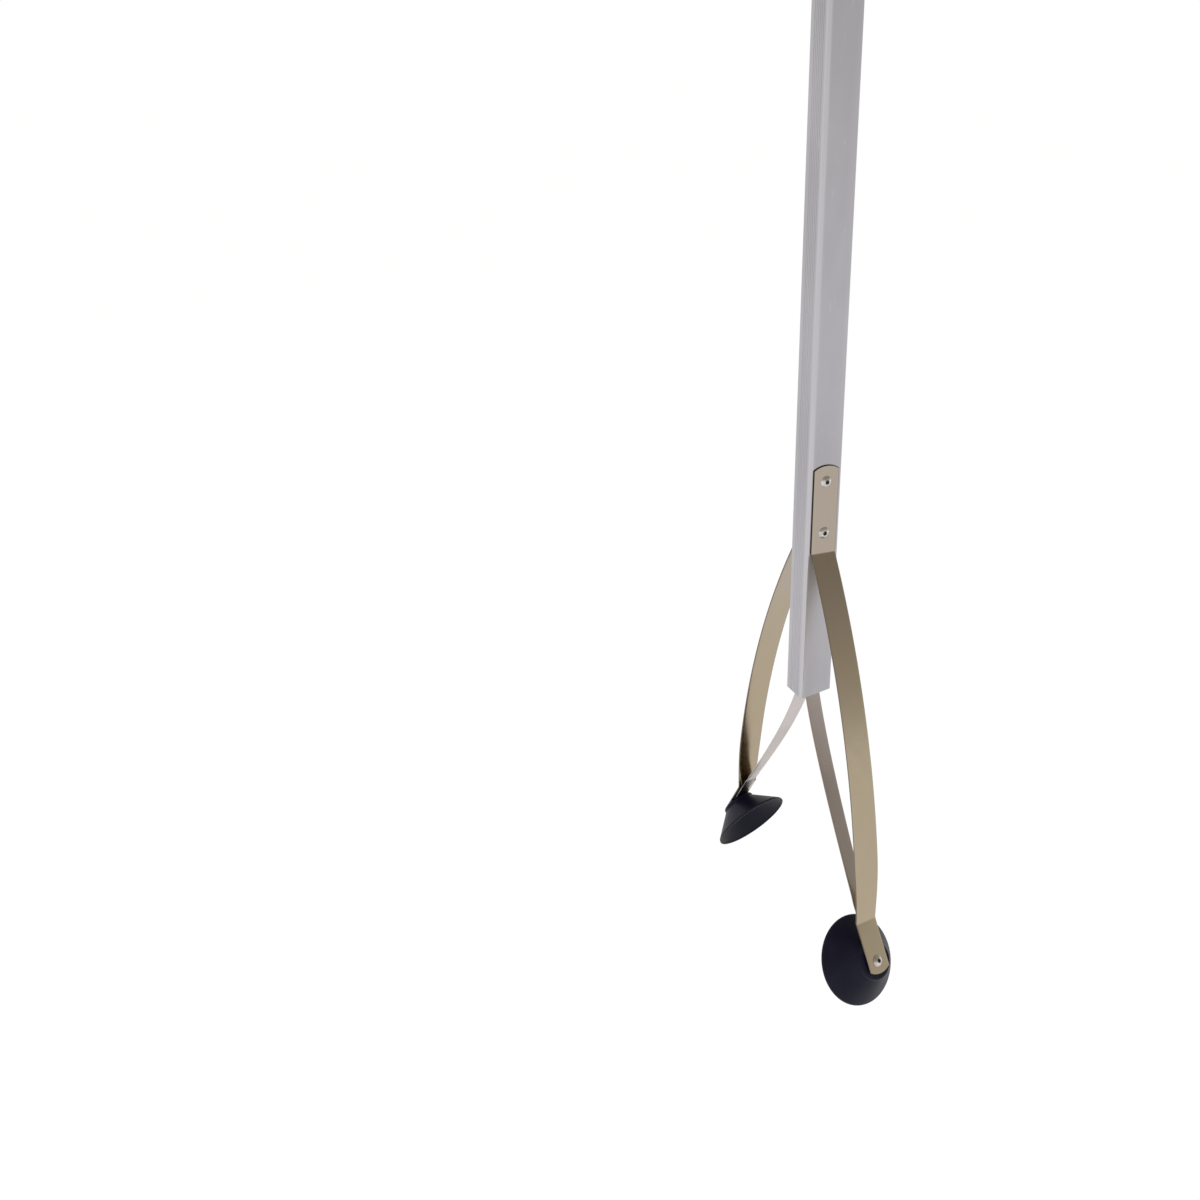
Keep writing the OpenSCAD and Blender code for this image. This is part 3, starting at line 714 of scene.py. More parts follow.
def tangent_ring(circles: list[Circle], inset: float, arc: int, run: int) -> np.ndarray:
    """Closed outline round circles on their common tangents, the same number of points for any inset.

    The normal on the tangent from circle a to circle b stands at angle(b - a) - acos((ra - rb) / distance).
    Circles run counter-clockwise and a negative radius lies in a hollow, so a parallel outline only takes the
    inset off each radius.

    Args:
        circles: Centre and radius of each circle.
        inset: Distance to go inside.
        arc: Points on each arc.
        run: Points on each straight run between arcs.

    Returns:
        Array (n, 2) of points.
    """
    c = np.array(circles, dtype=float)
    c[:, 2] -= inset
    ahead = np.roll(c, -1, axis=0)
    gap = ahead[:, :2] - c[:, :2]
    lean = np.arccos((c[:, 2] - ahead[:, 2]) / np.linalg.norm(gap, axis=1))
    leave = np.arctan2(gap[:, 1], gap[:, 0]) - lean
    reach = np.roll(leave, 1)
    sweep = np.mod(leave - reach, 2.0 * np.pi)
    sweep = np.where(c[:, 2] < 0.0, sweep - 2.0 * np.pi, sweep)
    angle = reach[:, None] + sweep[:, None] * np.linspace(0.0, 1.0, arc)[None]
    spoke = np.stack([np.cos(angle), np.sin(angle)], axis=2)
    bends = c[:, None, :2] + c[:, None, 2:] * spoke
    t = np.linspace(0.0, 1.0, run + 2)[1:-1][None, :, None]
    straights = bends[:, -1:, :] * (1.0 - t) + np.roll(bends, -1, axis=0)[:, :1, :] * t
    return np.concatenate([bends, straights], axis=1).reshape(-1, 2)


def ring_of(centre: Pair, radius: float, count: int = 40) -> np.ndarray:
    """Points on a circle in X and Z."""
    angle = np.linspace(0.0, 2.0 * np.pi, count, endpoint=False)
    return np.array(centre) + radius * np.stack([np.cos(angle), np.sin(angle)], axis=1)


def runs(*parts: tuple[float, float, int]) -> np.ndarray:
    """Even steps over several runs, each given by its first value, last value and count."""
    return np.concatenate([np.linspace(*part) for part in parts])


def rounded_slab(
    outline: Callable[[float], np.ndarray], holes: list[np.ndarray], half: float, edge: float
) -> Surface:
    """Slab in X and Z with rounded rims and straight holes.

    Its rings follow a quarter circle at each rim: inset edge·(1 - sin a) at height half - edge·(1 - cos a).

    Args:
        outline: Gives the slab's outline for an inset.
        holes: Outlines of the holes.
        half: Half of its thickness along Y.
        edge: Radius of its rims.

    Returns:
        The closed surface.
    """
    turn = np.linspace(0.0, np.pi / 2.0, 6)
    inset, height = edge * (1.0 - np.sin(turn)), half - edge * (1.0 - np.cos(turn))
    slab = Surface()
    rings = [outline(float(i)) for i in [*inset, *inset[::-1]]]
    ends = slab.wall(rings, [*-height, *height[::-1]])
    bores = [slab.wall([hole, hole], [-half, half]) for hole in holes]
    for end, *loops in zip(ends, *bores):
        slab.fill(end, *loops)
    return slab


class Path:
    """A line in X and Z that starts downwards and whose slope is given along its length."""

    samples = 8000

    def __init__(self, start: Pair, slope: Slope, low: float, high: float) -> None:
        """Add up steps of (sin slope, -cos slope) from the start.

        Args:
            start: First point.
            slope: Angle from straight down, in radians, at lengths along the line.
            low: Length at the first point.
            high: Length at the last point.
        """
        self.s = np.linspace(low, high, self.samples)
        self.angle = slope(self.s)
        step = np.diff(self.s)
        middle = (self.angle[1:] + self.angle[:-1]) / 2.0
        self.x = start[0] + np.concatenate([[0.0], np.cumsum(step * np.sin(middle))])
        self.z = start[1] - np.concatenate([[0.0], np.cumsum(step * np.cos(middle))])

    def at(self, s: np.ndarray) -> tuple[np.ndarray, np.ndarray, np.ndarray]:
        """X, Z and slope at lengths along the line."""
        return np.interp(s, self.s, self.x), np.interp(s, self.s, self.z), np.interp(s, self.s, self.angle)

    def point(self, s: float) -> np.ndarray:
        """The point at one length, with Y 0."""
        x, z, _ = self.at(np.array([s]))
        return np.array([x[0], 0.0, z[0]])


@dataclass
class Twist:
    """The turn of an open jaw about its arm's own line through the lower bend."""

    point: np.ndarray
    axis: np.ndarray
    degrees: float

    def matrix(self) -> np.ndarray:
        """Work out I + sin a·K + (1 - cos a)·K², where K is the axis's cross matrix.

        Returns:
            The rotation matrix.
        """
        a = math.radians(self.degrees)
        x, y, z = self.axis
        cross = np.array([[0.0, -z, y], [z, 0.0, -x], [-y, x, 0.0]])
        return np.eye(3) + math.sin(a) * cross + (1.0 - math.cos(a)) * cross @ cross

    def apply(self, points: np.ndarray, share: Any = 1.0) -> np.ndarray:
        """Points moved by a share of the twist: p + share·(turned p - p)."""
        away = points - self.point
        return points + np.asarray(share)[..., None] * (away @ self.matrix().T - away)


def step_at(s: np.ndarray, place: float, width: float) -> np.ndarray:
    """0 before a place, 1 after it and straight between over a width."""
    return np.clip((s - place) / width + 0.5, 0.0, 1.0)


@dataclass
class Strip:
    """A flat strip with rounded edges that is carried along a path."""

    path: Path
    width: float
    thick: float
    edge: float = 0.2
    flats: int = 14

    def section(self) -> tuple[np.ndarray, np.ndarray]:
        """Go over the strip's outer face and back under its inner face, on quarter circles at the edges.

        Returns:
            Y and height of each point.
        """
        turn = np.linspace(np.pi, np.pi / 2.0, 5)
        y_edge = -self.width / 2.0 + self.edge + self.edge * np.cos(turn)
        h_edge = self.thick / 2.0 - self.edge + self.edge * np.sin(turn)
        flat = np.linspace(y_edge[-1], -y_edge[-1], self.flats)[1:-1]
        y = np.concatenate([y_edge, flat, -y_edge[::-1]])
        h = np.concatenate([h_edge, np.full(flat.size, self.thick / 2.0), h_edge[::-1]])
        return np.concatenate([y, y[::-1]]), np.concatenate([h, -h[::-1]])

    def surface(
        self,
        along: np.ndarray,
        first_r: float = 0.0,
        last_r: float = 0.0,
        zone: float = 9.0,
        roll: float = 0.0,
    ) -> Surface:
        """Carry the section along the path.

        A point is path(s) + (h·cos a - y·sin a)·normal at Y h·sin a + y·cos a, where the roll a grows with s.
        Within the zone beside a round end, s is drawn back by r - sqrt(r² - y²), so that the end is an arc of
        radius r.

        Args:
            along: Lengths of the rows.
            first_r: Radius of the first end's arc, 0 for a straight end.
            last_r: Radius of the last end's arc, 0 for a straight end.
            zone: Length over which the rows bend to the arc.
            roll: Roll about the path for each millimetre along it, in radians.

        Returns:
            The closed surface, with length and Y as its surface coordinates.
        """
        y, h = self.section()
        s = along[:, None] + 0.0 * y[None]
        for r, end, back in ((first_r, along[0], 1.0), (last_r, along[-1], -1.0)):
            if r > 0.0:
                near = np.clip(1.0 - np.abs(s - end) / zone, 0.0, 1.0)
                s = s + back * near * (r - np.sqrt(r**2 - y**2))
        x, z, slope = self.path.at(s)
        high = h * np.cos(roll * s) - y * np.sin(roll * s)
        across = h * np.sin(roll * s) + y * np.cos(roll * s)
        points = np.dstack([x + high * np.cos(slope), across, z + high * np.sin(slope)]).reshape(-1, 3)
        uv = np.dstack([s, y + 0.0 * s]).reshape(-1, 2)
        n = y.size
        i = np.arange(n // 2 - 1)
        cap = np.stack([i, i + 1, n - 2 - i, n - 1 - i], axis=1)
        faces = grid_faces(len(along), n, True) + cap.tolist() + (cap + (len(along) - 1) * n).tolist()
        return Surface(points, faces, uv)


# Sub-assemblies


@dataclass
class Channel:
    """The extruded tube with grooved faces and a slanted mouth."""

    width: float = 15.8
    depth: float = 16.4
    wall: float = 1.1
    corner: float = 1.0
    inner_corner: float = 0.35
    mouth_rise: float = 2.9
    groove_count: int = 6
    groove_pitch: float = 1.5
    groove_width: float = 0.6
    groove_depth: float = 0.25
    rim: float = 0.15
    mouth_fade: float = 40.0
    rows: int = 30

    def outside(self, inset: float) -> np.ndarray:
        """Outline of the outside, counter-clockwise, with its grooves on the two Y faces.

        Args:
            inset: Distance to go inside.

        Returns:
            Array (n, 2) of X and Y.
        """
        w, d, r = self.width / 2.0, self.depth / 2.0, self.corner
        middle = (np.arange(self.groove_count) - (self.groove_count - 1) / 2.0) * self.groove_pitch
        across = np.array([-1.0, -0.7, -0.3, 0.3, 0.7, 1.0]) * self.groove_width / 2.0
        deep = np.array([0.0, 0.8, 1.0, 1.0, 0.8, 0.0]) * self.groove_depth
        front = np.dstack([middle[:, None] + across, deep - d + inset + 0.0 * middle[:, None]]).reshape(-1, 2)
        turn = np.linspace(-np.pi / 2.0, 0.0, 7)[:, None]
        bend = np.array([w - r, -d + r]) + (r - inset) * np.hstack([np.cos(turn), np.sin(turn)])
        side = np.column_stack([np.full(9, w - inset), np.linspace(-d + r, d - r, 11)[1:-1]])
        half = np.vstack([front, bend, side, bend[::-1] * np.array([1.0, -1.0])])
        return np.vstack([half, -half])

    def inside(self) -> np.ndarray:
        """Outline of the inside: the outside scaled, clipped to a box and pulled in to its round corners.

        Returns:
            Array (n, 2) of X and Y, with as many points as the outside.
        """
        w, d, r = self.width / 2.0 - self.wall, self.depth / 2.0 - self.wall, self.inner_corner
        scale = 1.05 * np.array([w / (self.width / 2.0), d / (self.depth / 2.0)])
        box = np.clip(self.outside(0.0) * scale, [-w, -d], [w, d])
        past = np.maximum(np.abs(box) - np.array([w - r, d - r]), 0.0)
        length = np.linalg.norm(past, axis=1, keepdims=True)
        pull = np.where(length > r, past * (1.0 - r / np.maximum(length, 1e-9)), 0.0)
        return box - np.sign(box) * pull

    def surface(self) -> Surface:
        """Outer rings from mouth to top, over the rim and back down the inside.

        The mouth rises with Y by slant·(y + depth / 2), which fades out over mouth_fade.

        Returns:
            The closed surface.
        """
        outer, small, inner = self.outside(0.0), self.outside(self.rim), self.inside()
        up = np.linspace(2.0, CHANNEL_LEN - self.rim, self.rows)
        levels = np.array([0.0, self.rim, *up, CHANNEL_LEN, CHANNEL_LEN, CHANNEL_LEN / 2.0, 2.0, 0.0])
        rings = np.stack([small, outer, *[outer] * self.rows, small, *[inner] * 4])
        fade = np.maximum(0.0, 1.0 - levels / self.mouth_fade)[:, None]
        rise = self.mouth_rise / self.depth * (rings[:, :, 1] + self.depth / 2.0) * fade
        points = np.dstack([rings, levels[:, None] + rise]).reshape(-1, 3)
        return Surface(points, grid_faces(len(rings), len(outer), True, True))

    def build(self, finish: ExtrudedAluminium) -> None:
        """Make the channel, which rides on the frame."""
        made = self.surface().piece("channel_tube", finish.paint())
        settle(made, "frame", "extrusion", "channel")


@dataclass
class SpringArm:
    """One arm: a plate on the channel's side, a bow and an end plate that carries the cup."""

    side: Side
    start_x: float = 8.3
    kink_z: float = 77.7
    plate_len: float = 43.4
    end_r: float = 11.0
    start_deg: float = 33.2
    bow_r: float = 372.0
    bow_len: float = 184.0
    end_deg: float = 31.0
    end_len: float = 26.4
    twist_deg: float = 15.0
    twist_from: float = 150.0
    twist_over: float = 40.0
    width: float = 12.7
    thick: float = 0.8
    kink_len: float = 1.3
    lower_bend: float = 0.75
    path: Path = field(init=False)
    twist: Twist = field(init=False)

    def __post_init__(self) -> None:
        """Work out the strip's line (straight, kink, arc, kink and straight again) and the jaw's twist."""
        first, last = math.radians(self.start_deg), math.radians(self.end_deg)
        after = first - self.bow_len / self.bow_r

        def slope(s: np.ndarray) -> np.ndarray:
            """Slope along the strip: it falls evenly over the bow and jumps softly at the two kinks.

            Args:
                s: Lengths from the upper kink.

            Returns:
                The slopes in radians.
            """
            bow = first - np.clip(s, 0.0, self.bow_len) / self.bow_r
            upper = bow * step_at(s, 0.0, self.kink_len)
            return upper + (last - after) * step_at(s, self.bow_len, self.kink_len)

        start = (self.start_x, self.kink_z + self.plate_len)
        self.path = Path(start, slope, -self.plate_len, self.bow_len + self.end_len)
        bend = self.lower_bend * self.bow_len
        lean = first - bend / self.bow_r
        axis = np.array([-math.sin(lean), 0.0, math.cos(lean)])
        self.twist = Twist(self.path.point(bend), axis, self.twist_deg)

    def plate_axes(self) -> tuple[np.ndarray, np.ndarray]:
        """Directions down the end plate and into the jaw, before the jaw is twisted."""
        a = math.radians(self.end_deg)
        return np.array([math.sin(a), 0.0, -math.cos(a)]), np.array([-math.cos(a), 0.0, -math.sin(a)])

    def plate_frame(self, below: float, inward: float) -> tuple[np.ndarray, np.ndarray]:
        """Turn and place for a piece on the end plate whose own Z points into the jaw.

        Args:
            below: Distance from the lower kink down the plate.
            inward: Distance from the plate's middle into the jaw.

        Returns:
            Rotation matrix and shift for the right side.
        """
        down, into = self.plate_axes()
        turn = np.stack([-down, np.cross(into, -down), into], axis=1)
        place = self.path.point(self.bow_len) + below * down + inward * into
        return self.twist.matrix() @ turn, self.twist.apply(place)

    def build(self, material: Material) -> None:
        """Make the arm as two pieces that meet at the middle of the bow.

        Args:
            material: Their material.
        """
        strip = Strip(self.path, self.width, self.thick)
        half, end = self.bow_len / 2.0, self.bow_len + self.end_len
        low = self.bow_len
        upper = runs((-self.plate_len, -9.0, 12), (-7.0, -1.5, 4), (-1.0, 1.0, 11), (2.0, half, 40))
        lower = runs((half, low - 2.0, 40), (low - 1.0, low + 1.0, 11), (low + 2.0, end, 16))
        plain, open_jaw = strip.surface(upper, first_r=self.end_r), strip.surface(lower, last_r=self.end_r)
        grown = smoothstep((open_jaw.uv[:, 0] - self.twist_from) / self.twist_over)
        open_jaw.points = self.twist.apply(open_jaw.points, grown)
        name = self.side.label
        halves = [
            ("upper", plain, (0.0, half), ("frame", f"{name}_arm"), ["root", "mid"]),
            ("lower", open_jaw, (half, low), (f"{name}_arm", f"{name}_jaw"), ["tip"]),
        ]
        for part, surface, reach, bodies, nodes in halves:
            made = surface.moved(self.side.turn).piece(f"{name}_arm_{part}", material)
            bend_between(made, bodies, [self.path.point(s) for s in reach], self.side)
            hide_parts(*(f"{name}_arm_{node}" for node in nodes))


@dataclass
class PullStrip:
    """The narrow strip from the channel's mouth to its tab between end plate and cup."""

    arm: SpringArm
    width: float = 8.0
    thick: float = 0.5
    top: Pair = (3.4, 2.2)
    tab_rise: float = 6.0
    cup_drop: float = 20.2
    tab_past: float = 4.0
    tab_end_r: float = 5.0
    mouth_bend_deg: float = 15.0
    mouth_bend_len: float = 40.0
    foot_bend_len: float = 3.0
    tab_lead: float = 8.0
    tab_fade: float = 10.0
    give: float = 5.0

    @property
    def tail(self) -> float:
        """Length of the tab below the foot."""
        return self.tab_rise + self.cup_drop + self.tab_past

    def foot(self) -> np.ndarray:
        """Find where the free strip meets its tab.

        Returns:
            The point, before the jaw is twisted.
        """
        down, into = self.arm.plate_axes()
        inward = self.arm.thick / 2.0 + self.thick / 2.0
        return self.arm.path.point(self.arm.bow_len) - self.tab_rise * down + inward * into

    def line(self) -> tuple[Path, float]:
        """Line of the strip from the mouth to the tab's end.

        The strip leaves the mouth steeply and its slope grows by a dying exponential. The trial line is
        turned so that it ends on the foot, and then goes on down the end plate.

        Returns:
            The path, and the length along it at which the foot lies.
        """
        span = self.foot()[[0, 2]] - np.array(self.top)
        reach = float(np.hypot(*span))
        chord = math.atan2(span[0], -span[1])
        tab = math.radians(self.arm.end_deg)
        bend = math.radians(self.mouth_bend_deg)

        def free(s: np.ndarray) -> np.ndarray:
            """Slope of the free strip before it is turned."""
            return chord - bend * np.exp(-s / self.mouth_bend_len)

        trial = Path((0.0, 0.0), free, 0.0, reach)
        turn = chord - math.atan2(trial.x[-1], -trial.z[-1])
        length = reach * reach / float(np.hypot(trial.x[-1], trial.z[-1]))

        def whole(s: np.ndarray) -> np.ndarray:
            """Slope of the free strip, then of the tab."""
            mix = step_at(s, length, self.foot_bend_len)
            return (free(np.minimum(s, length)) + turn) * (1.0 - mix) + tab * mix

        return Path(self.top, whole, 0.0, length + self.tail), length

    def surface(self, path: Path, foot: float) -> Surface:
        """Surface of the strip, which goes over from a free run into the twisted tab.

        The free run rolls evenly up to the jaw's twist and drifts with the twisted foot; the tab takes the
        whole twist; a smooth step of length tab_fade, from tab_lead above the foot, joins the two.

        Args:
            path: Line of the strip before the jaw is twisted.
            foot: Length along it at which the foot lies.

        Returns:
            The closed surface on the right side.
        """
        free_rows, foot_rows = [(0.0, 40.0, 30), (42.0, foot - 10.0, 20)], (foot - 9.0, foot + 3.0, 19)
        rows = runs(*free_rows, foot_rows, (foot + 4.0, foot + self.tail, 14))
        strip = Strip(path, self.width, self.thick, edge=0.15, flats=10)
        roll = math.radians(self.arm.twist_deg) / foot
        flat, free = (strip.surface(rows, last_r=self.tab_end_r, zone=3.0, roll=r) for r in (0.0, roll))
        s = flat.uv[:, :1]
        drift = self.arm.twist.apply(self.foot()) - self.foot()
        tab = smoothstep((s - foot + self.tab_lead) / self.tab_fade)
        points = (free.points + s / foot * drift) * (1.0 - tab) + self.arm.twist.apply(flat.points) * tab
        return Surface(points, flat.faces, flat.uv)

    def build(self, material: Material) -> None:
        """Make the strip, whose report names the jaw and the strip's own body beside the tab.

        Args:
            material: Its material.
        """
        path, foot = self.line()
        side = self.arm.side
        made = self.surface(path, foot).moved(side.turn).piece(f"{side.label}_strip", material)
        ends = [path.point(foot + self.give), path.point(foot - self.give)]
        bend_between(made, (f"{side.label}_jaw", f"{side.label}_strip"), ends, side)
        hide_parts(f"{side.label}_strip_tab", f"{side.label}_pull_strip")


@dataclass
class BlindRivet:
    """A dome-headed blind rivet whose head lies above Z 0."""

    grip: float
    shank_r: float = 2.0
    head_r: float = 2.9
    head_h: float = 1.3
    mandrel_r: float = 0.95
    mandrel_z: float = 0.35
    tail_r: float = 2.6
    tail_h: float = 1.2

    def surface(self) -> Surface:
        """Turn the rivet's line: mandrel, hole, dome, flange, shank and tail.

        The dome is an arc of radius (r² + h²) / 2h over the head's radius r and height h.

        Returns:
            The closed surface, with its axis along Z.
        """
        ball = (self.head_r**2 + self.head_h**2) / (2.0 * self.head_h)
        r = np.linspace(self.mandrel_r + 0.15, self.head_r - 0.05, 14)
        dome = np.column_stack([r, np.sqrt(ball**2 - r**2) - ball + self.head_h])
        tail_z = -self.grip - self.tail_h
        hole = rounded([
            (0.0, self.mandrel_z + 0.12, 0.0),
            (self.mandrel_r * 0.8, self.mandrel_z, 0.1),
            (self.mandrel_r, self.mandrel_z, 0.05),
            (self.mandrel_r, dome[0, 1] - 0.12, 0.1),
            (*dome[0], 0.0),
        ])
        under = rounded([
            (*dome[-1], 0.0),
            (self.head_r, 0.12, 0.06),
            (self.head_r - 0.08, 0.0, 0.05),
            (self.shank_r, 0.0, 0.0),
            (self.shank_r, -self.grip, 0.0),
            (self.tail_r, -self.grip, 0.2),
            (self.tail_r, tail_z, 0.5),
            (0.0, tail_z, 0.0),
        ])
        return revolve(np.vstack([hole[:-1], dome, under[1:]]), False, 48)


@dataclass
class Cup:
    """A rubber suction cup with its washer and rivet, on an arm's end plate."""

    arm: SpringArm
    rim_r: float = 22.2
    height: float = 14.8
    boss_r: float = 9.6
    boss_h: float = 2.8
    band: float = 1.3
    floor: float = 3.4
    floor_r: float = 6.0
    rim_t: float = 0.9
    hole_r: float = 2.05
    drop: float = 20.2
    strip_t: float = 0.5
    washer_r: float = 5.0
    washer_t: float = 0.8
    longest: float = 1.2
    sharp_deg: float = 50.0

    def rubber(self) -> Surface:
        """Turn the cup's line: back, boss, cone, rim and hollow, with the rivet's hole left open.

        Returns:
            The closed surface, with its axis along Z.
        """
        band, inner = self.height - self.band, self.rim_r - self.rim_t
        line = rounded(
            [
                (self.hole_r, 0.0, 0.0),
                (self.boss_r, 0.0, 1.3),
                (self.boss_r, self.boss_h - 0.6, 0.4),
                (self.boss_r + 0.7, self.boss_h, 0.5),
                (self.rim_r - 0.5, band, 1.0),
                (self.rim_r - 0.2, band + 0.4, 0.3),
                (self.rim_r, self.height, 0.25),
                (inner, self.height, 0.25),
                (inner - 0.5, band + 0.6, 1.5),
                (self.floor_r, self.floor, 2.0),
                (self.hole_r, self.floor, 0.0),
            ],
            7,
        )
        return revolve(self._split(line, self.longest), True, 128)

    @staticmethod
    def _split(line: np.ndarray, longest: float) -> np.ndarray:
        """Add points to the long steps of a line.

        Args:
            line: Array (n, 2) of points.
            longest: Distance between added points.

        Returns:
            The line with the added points.
        """
        length = np.concatenate([[0.0], np.cumsum(np.linalg.norm(np.diff(line, axis=0), axis=1))])
        extra = np.arange(0.0, length[-1], longest)
        keep = np.min(np.abs(extra[:, None] - length[None]), axis=1) > longest / 3.0
        s = np.sort(np.concatenate([length, extra[keep]]))
        return np.column_stack([np.interp(s, length, line[:, 0]), np.interp(s, length, line[:, 1])])

    def washer(self) -> Surface:
        """Turn the washer's line, a rectangle with soft corners round the rivet's hole.

        Returns:
            The closed surface, with its axis along Z.
        """
        low, high = (self.washer_r, 0.0, 0.2), (self.washer_r, self.washer_t, 0.2)
        line = rounded([(self.hole_r, 0.0, 0.0), low, high, (self.hole_r, self.washer_t, 0.0)])
        return revolve(line, True, 64)

    def build(self, rubber: Material, metal: Material) -> None:
        """Make the cup, washer and rivet, which ride on the jaw; the rivet's head points out of the jaw.

        Args:
            rubber: Material of the cup.
            metal: Material of washer and rivet.
        """
        side, half = self.arm.side.label, self.arm.thick / 2.0
        back = half + self.strip_t
        rivet = BlindRivet(half + back + self.floor + self.washer_t).surface()
        outwards = rivet.moved(np.diag([1.0, -1.0, -1.0]))
        pieces = [
            ("rubber_cup", "cup", self.rubber(), back, rubber, "cup_rubber", self.sharp_deg),
            ("washer", "cup_washer", self.washer(), back + self.floor, metal, "rivet_metal", SHARP_DEG),
            ("jaw_rivet", "cup_rivet", outwards, -half, metal, "rivet_metal", SHARP_DEG),
        ]
        for name, node, shape, inward, material, slot, sharp in pieces:
            placed = shape.moved(*self.arm.plate_frame(self.drop, inward)).moved(self.arm.side.turn)
            settle(placed.piece(f"{side}_{name}", material, sharp), f"{side}_jaw", slot, f"{side}_{node}")


@dataclass
class ArmRivets:
    """The two rivets that hold an arm's plate to the channel."""

    arm: SpringArm
    rise: float = 10.3
    pitch: float = 25.4
    wall: float = 1.1

    def build(self, metal: Material) -> None:
        """Make both rivets as one piece on the frame.

        Args:
            metal: Their material.
        """
        side, arm = self.arm.side, self.arm
        turn = np.array([[0.0, 0.0, 1.0], [0.0, 1.0, 0.0], [-1.0, 0.0, 0.0]])
        x = arm.start_x + arm.thick / 2.0
        one = BlindRivet(arm.thick + self.wall).surface()
        low = one.moved(turn, np.array([x, 0.0, arm.kink_z + self.rise]))
        pair = low.joined(one.moved(turn, np.array([x, 0.0, arm.kink_z + self.rise + self.pitch])))
        made = pair.moved(side.turn).piece(f"{side.label}_plate_rivets", metal)
        settle(made, "frame", "rivet_metal", f"{side.label}_arm_rivets")


